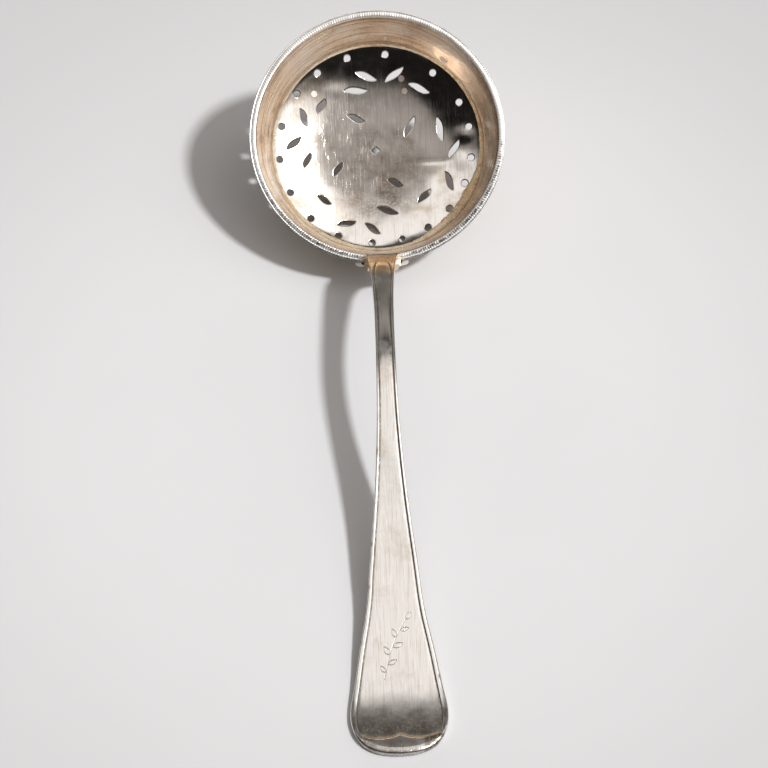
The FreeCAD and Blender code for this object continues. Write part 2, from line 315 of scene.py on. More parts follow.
class MeshBench:
    """Gathers points in millimetres and faces, and turns them into a piece in metres."""

    LEAST_EDGE: ClassVar[float] = 1e-8

    def __init__(self) -> None:
        """Start with nothing."""
        self.points: list[np.ndarray] = []
        self.marks: dict[Mark, list[np.ndarray]] = {mark: [] for mark in Mark}
        self.faces: list[tuple[int, ...]] = []
        self.count = 0

    def add_points(self, points: np.ndarray, grime: Amount = 0.0, wear: Amount = 0.0,
                   outside: Amount = 0.0) -> int:
        """Add points with their marks.

        Args:
            points: one row each.
            grime: how dark the dirt and the painted shade are there, 0 to 1.
            wear: how bright the rubbing and the painted highlights are there, 0 to 1.
            outside: how far a handled outer face has been polished plain there, 0 to 1.

        Returns:
            The number of the first point added.
        """
        start = self.count
        points = np.asarray(points, float).reshape(-1, 3)
        self.points.append(points)
        for mark, value in zip(Mark, (grime, wear, outside)):
            values = np.asarray(value, float).ravel()
            self.marks[mark].append(np.broadcast_to(values, (len(points),)))
        self.count += len(points)
        return start

    def add_grid(self, grid: np.ndarray, grime: Amount = 0.0, wear: Amount = 0.0, outside: Amount = 0.0,
                 wrap_rows: bool = False, wrap_columns: bool = False) -> None:
        """Add a grid of points and the faces between them.

        Args:
            grid: rows by columns by three.
            grime: dirt and painted shade, one value or one for each point.
            wear: rubbing and painted highlights, one value or one for each point.
            outside: plain polish, one value or one for each point.
            wrap_rows: whether the last row joins the first.
            wrap_columns: whether the last column joins the first.
        """
        rows, columns = grid.shape[:2]
        start = self.add_points(grid, grime, wear, outside)
        for i in range(rows if wrap_rows else rows - 1):
            below = start + ((i + 1) % rows) * columns
            row = start + i * columns
            for j in range(columns if wrap_columns else columns - 1):
                k = (j + 1) % columns
                self.faces.append((row + j, row + k, below + k, below + j))

    def add_sleeve(self, first: np.ndarray, second: np.ndarray) -> None:
        """Add the faces between two closed loops, each given by its points' numbers."""
        corners = (first, np.roll(first, -1), np.roll(second, -1), second)
        self.faces += list(zip(*(loop.tolist() for loop in corners)))

    def add_triangles(self, start: int, triangles: np.ndarray) -> None:
        """Add triangles between points that are numbered from a start."""
        self.faces += [tuple(corners) for corners in (triangles + start).tolist()]

    def make(self, name: str, place: Matrix | None = None, sharp: float = 40.0,
             weld: float = 0.0) -> Piece:
        """Turn what was gathered into a piece.

        Args:
            name: the piece's name.
            place: where the piece's own frame lies in the row's.
            sharp: edges bent by more than this many degrees stay crisp.
            weld: points nearer than this, in millimetres, become one.

        Returns:
            The new piece, linked to the scene.
        """
        mesh = bpy.data.meshes.new(name)
        points = np.concatenate(self.points) * MM
        if place is not None:
            turned = np.array(place)
            points = points @ turned[:3, :3].T + turned[:3, 3]
            points[:, 2] = np.maximum(points[:, 2], 0.0)
        mesh.from_pydata(points.tolist(), [], self.faces)
        for mark, values in self.marks.items():
            layer = mesh.attributes.new(mark.value, "FLOAT", "POINT")
            layer.data.foreach_set("value", np.concatenate(values).astype(np.float32))
        shape = bmesh.new()
        shape.from_mesh(mesh)
        if weld:
            bmesh.ops.remove_doubles(shape, verts=shape.verts, dist=weld * MM)
        bmesh.ops.dissolve_degenerate(shape, edges=shape.edges, dist=self.LEAST_EDGE)
        bmesh.ops.recalc_face_normals(shape, faces=shape.faces)
        for face in shape.faces:
            face.smooth = True
        for edge in shape.edges:
            edge.smooth = edge.calc_face_angle(0.0) < math.radians(sharp)
        shape.to_mesh(mesh)
        shape.free()
        piece = bpy.data.objects.new(name, mesh)
        bpy.context.scene.collection.objects.link(piece)
        return piece


class Board:
    """Lays out nodes in a tree."""

    def __init__(self, tree: bpy.types.NodeTree) -> None:
        """Clear the tree."""
        self.tree = tree
        tree.nodes.clear()

    def add(self, kind: str, **settings: str) -> bpy.types.Node:
        """Add a node and choose its settings.

        Args:
            kind: the node's type.
            settings: its settings by name.

        Returns:
            The new node.
        """
        node = self.tree.nodes.new(kind)
        for name, value in settings.items():
            setattr(node, name, value)
        return node

    def feed(self, target: Socket, value: object) -> None:
        """Link an output to an input, or set a plain value on it.

        Args:
            target: the input.
            value: an output, or a plain value.
        """
        if isinstance(value, Socket):
            self.tree.links.new(value, target)
        else:
            target.default_value = value

    def math(self, kind: str, first: object, *others: object) -> Socket:
        """Combine two values, or more from left to right.

        Args:
            kind: the operation.
            first: the first value.
            others: what it is combined with, in order.

        Returns:
            The last result.
        """
        for other in others:
            node = self.add("ShaderNodeMath", operation=kind)
            self.feed(node.inputs[0], first)
            self.feed(node.inputs[1], other)
            first = node.outputs["Value"]
        return first

    def span(self, value: Socket, low: float, high: float, to_low: float = 0.0,
             to_high: float = 1.0) -> Socket:
        """Map a range of a value smoothly onto another range, and hold it beyond.

        Args:
            value: what is mapped.
            low: where its range starts.
            high: where that ends.
            to_low: what the start becomes.
            to_high: what the end becomes.

        Returns:
            The mapped value.
        """
        node = self.add("ShaderNodeMapRange", interpolation_type="SMOOTHSTEP")
        for socket, given in zip(node.inputs, (value, low, high, to_low, to_high)):
            self.feed(socket, given)
        return node.outputs["Result"]


class NodeBoard(Board):
    """Lays out one material's nodes."""

    def __init__(self, name: str, tipped: bool = False) -> None:
        """Start a material with a shader and its output, over the row's frame or the tipped bowl's.

        Args:
            name: the material's name.
            tipped: whether the surface is drawn about the bowl's axis.
        """
        self.material = bpy.data.materials.new(name)
        self.material.use_nodes = True
        super().__init__(self.material.node_tree)
        self.shader = self.add("ShaderNodeBsdfPrincipled")
        self.feed(self.add("ShaderNodeOutputMaterial").inputs["Surface"], self.shader.outputs["BSDF"])
        self.place = self.add("ShaderNodeTexCoord").outputs["Object"]
        if tipped:
            turn = self.add("ShaderNodeMapping", vector_type="TEXTURE")
            self.feed(turn.inputs["Location"], Vector(LIP_CENTRE) * MM)
            self.feed(turn.inputs["Rotation"], (LYING_TILT, 0.0, 0.0))
            self.feed(turn.inputs["Vector"], self.place)
            self.place = turn.outputs["Vector"]

    def dress(self, name: str, value: object) -> None:
        """Link or set one of the shader's own inputs."""
        self.feed(self.shader.inputs[name], value)

    def noise(self, lumps: Sequence[float], detail: float, strength: float,
              shift: Sequence[float] = (0.0, 0.0, 0.0)) -> Socket:
        """Noise over the piece's own frame.

        Args:
            lumps: how many lumps there are in a millimetre, along each axis.
            detail: how many finer layers it has.
            strength: how strong those are.
            shift: which part of the noise it takes.

        Returns:
            The noise, about 0.5 in the middle.
        """
        mapping = self.add("ShaderNodeMapping")
        self.feed(mapping.inputs["Scale"], [number / MM for number in lumps])
        self.feed(mapping.inputs["Location"], shift)
        self.feed(mapping.inputs["Vector"], self.place)
        texture = self.add("ShaderNodeTexNoise")
        self.feed(texture.inputs["Scale"], 1.0)
        self.feed(texture.inputs["Detail"], detail)
        self.feed(texture.inputs["Roughness"], strength)
        self.feed(texture.inputs["Vector"], mapping.outputs["Vector"])
        return texture.outputs["Fac"]

    def mark(self, mark: Mark) -> Socket:
        """The values that a mesh keeps on its points."""
        return self.add("ShaderNodeAttribute", attribute_name=mark.value).outputs["Fac"]

    def mix(self, share: object, first: object, second: object) -> Socket:
        """Blend two colours.

        Args:
            share: how much of the second colour shows, from 0 to 1.
            first: the colour at 0.
            second: the colour at 1.

        Returns:
            The blend.
        """
        node = self.add("ShaderNodeMix", data_type="RGBA")
        self.feed(node.inputs[0], share)
        for socket, colour in zip(node.inputs[6:8], (first, second)):
            self.feed(socket, colour if isinstance(colour, Socket) else (*colour, 1.0))
        return node.outputs[2]

    def bump(self, height: Socket, depth: float, under: Socket | None = None) -> Socket:
        """Raise the surface by a value times a depth in millimetres, over another bump.

        Args:
            height: the value.
            depth: how high a value of 1 stands.
            under: the bump below it, if there is one.

        Returns:
            The bent normal.
        """
        node = self.add("ShaderNodeBump")
        self.feed(node.inputs["Strength"], 1.0)
        self.feed(node.inputs["Distance"], depth * MM)
        self.feed(node.inputs["Height"], height)
        if under is not None:
            self.feed(node.inputs["Normal"], under)
        return node.outputs["Normal"]


class Brushing(Enum):
    """Which way the fine scratches of a surface run, as lumps per millimetre along each axis."""

    LENGTHWISE = (3.0, 0.10, 0.10)
    ROUND_THE_WALL = (0.045, 0.045, 1.35)
    EVEN = (2.5, 2.5, 2.5)


class Layer(Enum):
    """Noises of a finish: lumps per millimetre, finer layers, their strength, and the shift.

    The lumps are None where the finish gives them.
    """

    STAINS = (None, 4.0, 0.6, (0.0, 1.3, 7.7))
    PATCHES = ((0.09, 0.09, 0.22), 5.0, 0.65, (3.0, 0.4, 5.2))
    SCRATCHES = (None, 3.0, 0.7, (0.0, 4.1, 2.9))
    GLINTS = (None, 3.0, 0.6, (6.0, 8.3, 0.7))
    HAIRLINES = (None, 1.0, 0.5, (0.0, 0.9, 8.8))
    SPECKS = ((1.6, 1.6, 1.6), 3.0, 0.7, (0.0, 9.2, 3.3))
    CLOUDS = ((0.35, 0.35, 0.35), 4.0, 0.6, (8.0, 2.2, 0.6))
    DENTS = ((0.16, 0.16, 0.16), 2.0, 0.5, (0.0, 3.3, 1.1))
    GRAIN = ((3.2, 3.2, 3.2), 3.0, 0.6, (0.0, 6.6, 4.4))


@dataclass(frozen=True)
class MetalFinish:
    """Old metal: its clean colour, its stains, its dirt in hollows, painted shade where the dirt mark runs
    past a threshold, and its scratches.

    The second colour shows where a mesh marks it, which in places paints highlights and reflections, and also
    by patches where second_from is below 1.
    Depths are in millimetres. A threshold above 1 is never reached, which leaves its effect out.
    """

    name: str
    colour: Colour
    stain: Colour
    dirt: Colour
    second: Colour
    stain_size: float
    stain_span: tuple[float, float]
    roughness: float
    roughness_spread: float
    brushing: Brushing
    scratch_depth: float
    dent_depth: float
    second_from: float = 2.0
    second_roughness: float = 0.0
    second_metal: float = 0.0
    streaks: float = 0.2
    streaks_from: float = 0.50
    grain_depth: float = 0.0
    hairlines: float = 0.0
    dirt_matte: float = 0.0
    painted_shade_from: float = 2.0
    metal: float = 1.0
    tipped: bool = False
    seed: float = 0.0

    PATCH_EDGE: ClassVar[float] = 0.17
    STREAK_EDGE: ClassVar[float] = 0.16
    GLINT_DELAY: ClassVar[float] = 0.02
    GLINT_PALENESS: ClassVar[float] = 0.4
    PLAIN_WEAR_AND_SHEEN: ClassVar[float] = 0.8
    PLAIN_CALM: ClassVar[float] = 0.8
    SPECK_SPAN: ClassVar[tuple[float, float, float, float]] = (0.25, 0.6, 0.45, 1.0)
    PAINTED_SHADE_EDGE: ClassVar[float] = 0.08
    BRIGHT_SHEEN: ClassVar[tuple[float, float]] = (0.8, 1.0)
    OUTSIDE_METAL: ClassVar[float] = 0.95
    CLOUD_SPAN: ClassVar[tuple[float, float]] = (0.3, 0.7)
    DIRT_ROUGHNESS: ClassVar[float] = 0.2
    MATTE_ROUGHNESS: ClassVar[float] = 0.5
    HAIRLINE_FINENESS: ClassVar[float] = 2.1
    HAIRLINE_SPAN: ClassVar[tuple[float, float]] = (0.60, 0.68)

    def layer(self, board: NodeBoard, kind: Layer, lumps: Sequence[float] | None = None) -> Socket:
        """One of the finish's noises, shifted by its seed."""
        own_lumps, detail, strength, shift = kind.value
        return board.noise(lumps or own_lumps, detail, strength, (self.seed + shift[0], *shift[1:]))

    def make(self) -> bpy.types.Material:
        """Lay out the material.

        Returns:
            The material, for a piece's first slot.
        """
        board = NodeBoard(self.name, self.tipped)
        scratches = self.layer(board, Layer.SCRATCHES, self.brushing.value)
        grime = board.mark(Mark.GRIME)
        specks = board.span(self.layer(board, Layer.SPECKS), *self.SPECK_SPAN)
        speckled_dirt_and_shade = board.math("MULTIPLY", grime, specks)
        # Past a threshold the dirt mark paints shade: the surface takes the full dirt colour and turns matte.
        painted_shade = board.span(grime, self.painted_shade_from, self.painted_shade_from + self.PAINTED_SHADE_EDGE)
        matte = board.math("MAXIMUM", board.math("MULTIPLY", speckled_dirt_and_shade, self.dirt_matte), painted_shade)
        dirt_and_painted_shade = board.math("MAXIMUM", speckled_dirt_and_shade, painted_shade)
        board.dress("Base Color", board.mix(dirt_and_painted_shade, self.clean_colour(board, scratches), self.dirt))
        board.dress("Metallic", self.metallic(board, matte))
        board.dress("Roughness", self.rough(board, speckled_dirt_and_shade, matte))
        board.dress("Normal", self.relief(board, scratches))
        return board.material

    def clean_colour(self, board: NodeBoard, scratches: Socket) -> Socket:
        """Colour of the metal under its dirt: stains, the second colour, dark streaks, and pale streaks
        painted as glints.

        Args:
            board: where the nodes are laid out.
            scratches: the noise of the fine scratches.

        Returns:
            The colour.
        """
        size = 1.0 / self.stain_size
        stains = self.layer(board, Layer.STAINS, (size, size, size))
        colour = board.mix(board.span(stains, *self.stain_span), self.colour, self.stain)
        patchy = self.layer(board, Layer.PATCHES)
        patches = board.span(patchy, self.second_from, self.second_from + self.PATCH_EDGE)
        wear_and_sheen_share = board.mark(Mark.WEAR)
        colour = board.mix(board.math("MAXIMUM", patches, wear_and_sheen_share), colour, self.second)
        # Streaks calm down where the wear mark is high, which includes the painted highlights, and on the
        # plain outer face.
        polished = board.math("MULTIPLY", wear_and_sheen_share, self.PLAIN_WEAR_AND_SHEEN)
        plain = board.math("MAXIMUM", board.mark(Mark.OUTSIDE), polished)
        streaky = board.math("SUBTRACT", 1.0, board.math("MULTIPLY", plain, self.PLAIN_CALM))
        glints = self.layer(board, Layer.GLINTS, self.brushing.value)
        pale = tuple(c + (1.0 - c) * self.GLINT_PALENESS for c in self.colour)
        for noise, delay, tone in ((scratches, 0.0, self.stain), (glints, self.GLINT_DELAY, pale)):
            start = self.streaks_from + delay
            share = board.span(noise, start, start + self.STREAK_EDGE, 0.0, self.streaks)
            colour = board.mix(board.math("MULTIPLY", share, streaky), colour, tone)
        return colour

    def metallic(self, board: NodeBoard, matte: Socket) -> Socket | float:
        """How metallic the surface is: one value for all of it, unless dirt, painted shade, wear or a painted
        highlight changes it.

        Args:
            board: where the nodes are laid out.
            matte: how far the dirt and the painted shade hide the metal.

        Returns:
            One number, or a value for each place.
        """
        if not (self.dirt_matte or self.second_metal or self.painted_shade_from < 1.0):
            return self.metal
        bare = board.math("MULTIPLY", board.math("SUBTRACT", 1.0, matte), self.metal)
        # The strongest marks, the wall's painted highlight, turn metallic.
        bright = board.span(board.mark(Mark.WEAR), *self.BRIGHT_SHEEN, 0.0, self.second_metal)
        outside = board.math("MULTIPLY", board.mark(Mark.OUTSIDE), self.OUTSIDE_METAL)
        return board.math("MAXIMUM", bare, bright, outside)

    def rough(self, board: NodeBoard, speckled_dirt_and_shade: Socket, matte: Socket) -> Socket:
        """Roughness: slow clouds, more of it on dirt, and what the marked places add.

        Args:
            board: where the nodes are laid out.
            speckled_dirt_and_shade: how dark the speckled dirt and painted shade are at each place.
            matte: how far the dirt and the painted shade hide the metal.

        Returns:
            The roughness.
        """
        low, high = self.roughness - self.roughness_spread, self.roughness + self.roughness_spread
        clouds = board.span(self.layer(board, Layer.CLOUDS), *self.CLOUD_SPAN, low, high)
        return board.math("ADD", clouds, board.math("MULTIPLY", speckled_dirt_and_shade, self.DIRT_ROUGHNESS),
                          board.math("MULTIPLY", matte, self.MATTE_ROUGHNESS),
                          board.math("MULTIPLY", board.mark(Mark.WEAR), self.second_roughness))

    def relief(self, board: NodeBoard, scratches: Socket) -> Socket:
        """Fine relief: dents under scratches, with hairlines and grain where the finish has them.

        Args:
            board: where the nodes are laid out.
            scratches: the noise of the fine scratches.

        Returns:
            The bent normal.
        """
        normal = board.bump(self.layer(board, Layer.DENTS), self.dent_depth)
        normal = board.bump(scratches, self.scratch_depth, normal)
        if self.hairlines:
            fine = [number * self.HAIRLINE_FINENESS for number in self.brushing.value]
            lines = board.span(self.layer(board, Layer.HAIRLINES, fine), *self.HAIRLINE_SPAN)
            normal = board.bump(lines, self.hairlines, normal)
        if self.grain_depth:
            normal = board.bump(self.layer(board, Layer.GRAIN), self.grain_depth, normal)
        return normal


# Each finish's dirt colour also paints shade where a mesh marks it so, and its second colour paints
# highlights and reflections where a mesh marks it so.
PIERCED_SILVER = MetalFinish(
    name="old_pierced_silver", colour=(0.90, 0.88, 0.85), stain=(0.55, 0.45, 0.36), dirt=(0.14, 0.10, 0.07),
    second=(0.66, 0.54, 0.48), stain_size=7.0, stain_span=(0.47, 0.80), roughness=0.115,
    roughness_spread=0.04, brushing=Brushing.LENGTHWISE, scratch_depth=0.010, dent_depth=0.06,
    second_roughness=0.3, streaks=0.35, hairlines=0.0036, painted_shade_from=0.9, tipped=True, seed=2.0)
WORN_GILDING = MetalFinish(
    name="worn_gilding", colour=(0.94, 0.72, 0.49), stain=(0.36, 0.19, 0.09), dirt=(0.10, 0.05, 0.03),
    second=(0.99, 0.91, 0.81), stain_size=7.0, stain_span=(0.47, 0.74), roughness=0.25,
    roughness_spread=0.09, brushing=Brushing.ROUND_THE_WALL, scratch_depth=0.018, dent_depth=0.10,
    second_from=0.48, second_roughness=-0.08, second_metal=0.9, streaks=0.76, streaks_from=0.44,
    metal=0.36, tipped=True, seed=5.0)
MILLED_SILVER = MetalFinish(
    name="milled_silver", colour=(0.86, 0.85, 0.83), stain=(0.62, 0.59, 0.55), dirt=(0.03, 0.027, 0.025),
    second=(0.05, 0.045, 0.04), stain_size=5.0, stain_span=(0.5, 0.8), roughness=0.30,
    roughness_spread=0.06, brushing=Brushing.EVEN, scratch_depth=0.004, dent_depth=0.03, dirt_matte=0.9,
    metal=0.92, tipped=True, seed=11.0)
HANDLE_SILVER = MetalFinish(
    name="old_handle_silver", colour=(0.84, 0.825, 0.80), stain=(0.58, 0.50, 0.42), dirt=(0.10, 0.08, 0.06),
    second=(0.90, 0.65, 0.40), stain_size=10.0, stain_span=(0.52, 0.82), roughness=0.17,
    roughness_spread=0.05, brushing=Brushing.LENGTHWISE, scratch_depth=0.012, dent_depth=0.05,
    second_roughness=0.04, streaks=0.45, hairlines=0.005, seed=17.0)
GRAINY_SOLDER = MetalFinish(
    name="grainy_solder", colour=(0.93, 0.82, 0.64), stain=(0.62, 0.46, 0.28), dirt=(0.10, 0.07, 0.04),
    second=(0.90, 0.70, 0.42), stain_size=2.0, stain_span=(0.45, 0.7), roughness=0.24,
    roughness_spread=0.08, brushing=Brushing.EVEN, scratch_depth=0.01, dent_depth=0.05, second_from=0.5,
    grain_depth=0.05, metal=0.60, tipped=True, seed=23.0)


def fit_piece(piece: Piece, material: bpy.types.Material, slot: str, *nodes: str) -> None:
    """Dress a new piece and tie it to the frame.

    Args:
        piece: the piece.
        material: its finish.
        slot: not used.
        nodes: the CAD nodes that it stands for.
    """
    piece.data.materials.append(material)
    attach(piece, "root")
    if nodes:
        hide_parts(*nodes)


@dataclass
class PiercedDome:
    """The pierced floor of the bowl: a shallow dome of sheet, struck with round and leaf holes.

    The tables give slopes at shares of the way out to the edge, plugged pin holes by turn and distance,
    knocks by place, spreads and height, round holes by turn, and leaf holes by turn, by distance as a
    share of the crease's radius, by lean from radial and by length as a share of the leaf's.
    """

    wall: float = 0.6
    pierce_offset: float = 0.56
    ring_inset: float = 2.1
    ring_hole_radius: float = 0.8
    leaf_length: float = 5.5
    leaf_width: float = 1.6
    centre_hole_side: float = 1.5
    slope_shares: tuple[tuple[float, float], ...] = (
        (0.0, 0.0), (0.20, 0.02), (0.32, 0.045), (0.42, 0.065), (0.50, 0.095), (0.58, 0.15), (0.66, 0.22),
        (0.73, 0.285), (0.80, 0.32), (0.88, 0.345), (0.95, 0.385), (0.985, 0.48), (1.0, 0.66))
    burr: float = 0.10
    burr_drops: tuple[float, float] = (0.7, 0.5)
    pitch: float = 0.55
    halo_gaps: tuple[float, ...] = (0.16, 0.38)
    plug_radius: float = 0.8
    plug_rings: tuple[float, ...] = (1.12, 1.0, 0.86, 0.45)
    plugs: tuple[tuple[float, float], ...] = ((-45.4, 19.9), (22.0, 18.4), (28.1, 16.0))
    knocks: tuple[tuple[float, float, float, float, float], ...] = (
        (20.8, 2.4, 1.9, 1.7, 0.24), (19.6, -3.6, 2.4, 2.6, 0.18), (12.0, -3.2, 4.2, 0.7, -0.10),
        (-14.0, 8.5, 4.0, 4.4, -0.12), (-9.0, 14.5, 3.2, 1.6, 0.10), (6.0, 12.0, 2.0, 3.0, 0.08))
    ring_turns: tuple[float, ...] = (
        8, 39, 63, 79, 98, 114, 132, 149, 166, 184, 204.5, 224, 244, 265, 285, 307, 325, 345)
    leaf_shares: tuple[tuple[float, float, float, float], ...] = (
        (-16, 0.61, -74, 1.04), (-5, 0.72, -65, 1.00), (16, 0.75, 38, 1.03), (37, 0.73, 79, 1.02),
        (74, 0.65, -85, 1.08), (92, 0.75, -61, 0.90), (116, 0.77, 44, 0.94), (136, 0.65, 89, 0.82),
        (171, 0.60, -63, 1.00), (184, 0.77, -56, 0.84), (203, 0.77, 56, 0.84), (227, 0.69, 75, 0.72),
        (263, 0.66, -61, 0.72), (276, 0.78, -49, 0.88), (296, 0.75, 43, 0.85), (311, 0.67, 79, 0.74),
        (-29, 0.36, -40, 0.82), (57, 0.40, -31, 1.00), (151, 0.37, -36, 0.74), (245, 0.40, -34, 0.78))
    leaf_side_shares: tuple[tuple[float, float], ...] = ((0, -1), (-0.95, -0.32), (-0.66, 0.36), (0, 1))
    edge_points: int = 300
    hole_points: int = 36
    plug_points: int = 24
    tarnish_centre_y: float = -6.0
    tarnish_reach: float = 9.0
    stain_centre_y: float = -10.5
    stain_spread: float = 5.5
    most_grime: float = 0.85

    def __post_init__(self) -> None:
        """Work out the dome's edge and its unevenness."""
        self.edge_radius = CREASE_RADIUS - SOLDER_GAP
        self.unevenness = Ripple(seed=41, depth=0.05, length=13.0)
        self.tarnish = Ripple(seed=12, depth=0.35, length=6.0)

    def at_turn(self, radius: float, turn: float) -> np.ndarray:
        """Place at a turn, about the piercing's centre."""
        angle = math.radians(turn)
        return np.array([radius * math.sin(angle) - self.pierce_offset, radius * math.cos(angle)])

    def hole_rings(self) -> list[np.ndarray]:
        """Outlines of all the holes, in the lip's plane.

        Returns:
            One closed outline for each hole.
        """
        circle = unit_circle(self.hole_points) * self.ring_hole_radius
        rings = [circle + self.at_turn(CREASE_RADIUS - self.ring_inset, turn) for turn in self.ring_turns]
        for turn, reach_share, lean, length_share in self.leaf_shares:
            shares = np.array(self.leaf_side_shares)
            scale = np.array([self.leaf_width, self.leaf_length * length_share]) / 2
            side = spline_through(shares * scale, 9)
            leaf = np.concatenate([side[:-1], -side[:-1]])
            angle = math.radians(turn + lean)
            rotate = np.array([[math.cos(angle), math.sin(angle)], [-math.sin(angle), math.cos(angle)]])
            rings.append(leaf @ rotate.T + self.at_turn(CREASE_RADIUS * reach_share, turn))
        half = self.centre_hole_side / math.sqrt(2)
        corners = np.array([(0, -half), (half, 0), (0, half), (-half, 0)])
        square = np.concatenate([np.linspace(a, b, 6, endpoint=False)
                                 for a, b in zip(corners, np.roll(corners, -1, 0))])
        rings.append(square + self.at_turn(0, 0))
        return rings

    def level(self, places: np.ndarray) -> np.ndarray:
        """Height of the true form, flatter in its middle and steeper near its edge.

        Args:
            places: one row of (x, y) each.

        Returns:
            One height for each place.
        """
        radius = np.linspace(0.0, self.edge_radius, 200)
        slope = np.interp(radius / self.edge_radius, *np.array(self.slope_shares).T)
        rise = np.concatenate([[0.0], np.cumsum((slope[1:] + slope[:-1]) / 2 * np.diff(radius))])
        return -CREASE_DEPTH - rise[-1] + np.interp(np.hypot(places[:, 0], places[:, 1]), radius, rise)

    def surface(self, places: np.ndarray) -> np.ndarray:
        """Height of the dome's upper face at places in the lip's plane.

        Args:
            places: one row of (x, y) each.

        Returns:
            One height for each place.
        """
        x, y = places.T
        still = smooth_step((self.edge_radius - np.hypot(x, y)) / 3.0)
        knocked = np.zeros(len(places))
        for middle_x, middle_y, across, along, depth in self.knocks:
            knocked += depth * np.exp(-((x - middle_x) / across) ** 2 - ((y - middle_y) / along) ** 2)
        return self.level(places) + self.unevenness.at(x, y) * still + knocked

    def shading(self, flat: np.ndarray, rings: list[np.ndarray]) -> tuple[np.ndarray, np.ndarray]:
        """Dirt and marks on the dome's upper face.

        Args:
            flat: places in the lip's plane.
            rings: the holes' outlines.

        Returns:
            The dirt, and the marks of the plugged pin holes.
        """
        x, y = flat.T
        hole_gap = np.min([distance_to(flat, ring) for ring in rings], axis=0)
        uneven = np.clip(0.75 + self.tarnish.at(x, y), 0.2, 1.3)
        off_middle = np.hypot(x, y - self.tarnish_centre_y) - self.tarnish_reach
        grime = 0.62 * (1 - smooth_step(off_middle / 5.0)) * uneven
        grime += 0.24 * bell(np.hypot(x, y - self.stain_centre_y), self.stain_spread)
        grime += 0.12 * smooth_step(np.hypot(x, y) - self.edge_radius + 1.0)
        grime += 0.25 * (1 - smooth_step(hole_gap / 0.5))
        mark = np.zeros(len(flat))
        for turn, radius in self.plugs:
            past_edge = np.hypot(*(flat - self.at_turn(radius, turn)).T) - self.plug_radius
            mark = np.maximum(mark, 1 - smooth_step((past_edge + 0.12) / 0.12))
            grime += 0.4 * bell(past_edge, 0.08)
        return np.clip(grime, 0, self.most_grime), mark

    def extra_points(self, rims: list[np.ndarray]) -> np.ndarray:
        """Points close round the holes and on the plugs, where the mesh has to be finer.

        Args:
            rims: the holes' softened outlines.

        Returns:
            One row for each point.
        """
        groups = [offset_ring(rim, gap) for rim in rims for gap in self.halo_gaps]
        circle = unit_circle(self.plug_points) * self.plug_radius
        for turn, radius in self.plugs:
            groups += [circle * share + self.at_turn(radius, turn) for share in self.plug_rings]
        extra = np.concatenate(groups)
        extra = extra[np.hypot(extra[:, 0], extra[:, 1]) < self.edge_radius - 0.3]
        for rim in rims:
            extra = extra[(distance_to(extra, rim) > 0.12) & ~inside(extra, rim)]
        return extra

    def sheet(self, loops: list[np.ndarray]) -> tuple[np.ndarray, np.ndarray, list[np.ndarray]]:
        """Fill the sheet with triangles, up to its edge and round its holes.

        Args:
            loops: the dome's edge, and then the softened rim of each hole.

        Returns:
            The points, the triangles, and the numbers of the points on each loop.
        """
        rims, reach = loops[1:], self.edge_radius
        fill = hex_points((-reach, -reach), (reach, reach), self.pitch)
        fill = fill[np.hypot(fill[:, 0], fill[:, 1]) < reach - self.pitch * 0.6]
        extra = self.extra_points(rims)
        for rim in rims:
            fill = fill[(distance_to(fill, rim) > self.pitch * 0.5) & ~inside(fill, rim)]
        fill = fill[distance_to(fill, extra) > self.pitch * 0.42]
        sizes = [len(loop) for loop in loops]
        flat, triangles, numbers = triangulate(np.concatenate(loops + [extra, fill]), sizes)
        middles = flat[triangles].mean(1)
        keep = np.hypot(middles[:, 0], middles[:, 1]) < reach
        for rim in rims:
            keep &= ~inside(middles, rim)
        return flat, triangles[keep], np.split(numbers[:sum(sizes)], np.cumsum(sizes)[:-1])

    def build(self) -> Piece:
        """Make the pierced sheet, with a softened edge round each hole.

        Returns:
            The new piece.
        """
        rings = self.hole_rings()
        edge = unit_circle(self.edge_points) * self.edge_radius
        flat, triangles, loops = self.sheet([edge] + [offset_ring(ring, self.burr) for ring in rings])
        top = self.surface(flat)
        low = self.level(flat) - self.wall
        bench = MeshBench()
        upper = bench.add_points(np.column_stack([flat, top]), *self.shading(flat, rings))
        # The underside is marked fully dark: painted shade, so that the holes read black.
        lower = bench.add_points(np.column_stack([flat, low]), 1.0)
        bench.add_triangles(upper, triangles)
        bench.add_triangles(lower, triangles[:, ::-1])
        top_drop, low_drop = (self.burr * share for share in self.burr_drops)
        for loop, ring in zip(loops[1:], rings):
            own = np.arange(len(ring))
            # The holes' walls: painted shade, half on the upper part and full below.
            high = bench.add_points(np.column_stack([ring, top[loop] - top_drop]), 0.5) + own
            deep = bench.add_points(np.column_stack([ring, low[loop] + low_drop]), 1.0) + own
            for first, second in ((upper + loop, high), (high, deep), (deep, lower + loop)):
                bench.add_sleeve(first, second)
        bench.add_sleeve(upper + loops[0], lower + loops[0])
        return bench.make("dome_sheet", BOWL_PLACE, sharp=48.0)

    def dress(self, piece: Piece) -> None:
        """Give the dome its finish and its place in the frame."""
        fit_piece(piece, PIERCED_SILVER.make(), "pierced_silver", "pierced_dome")


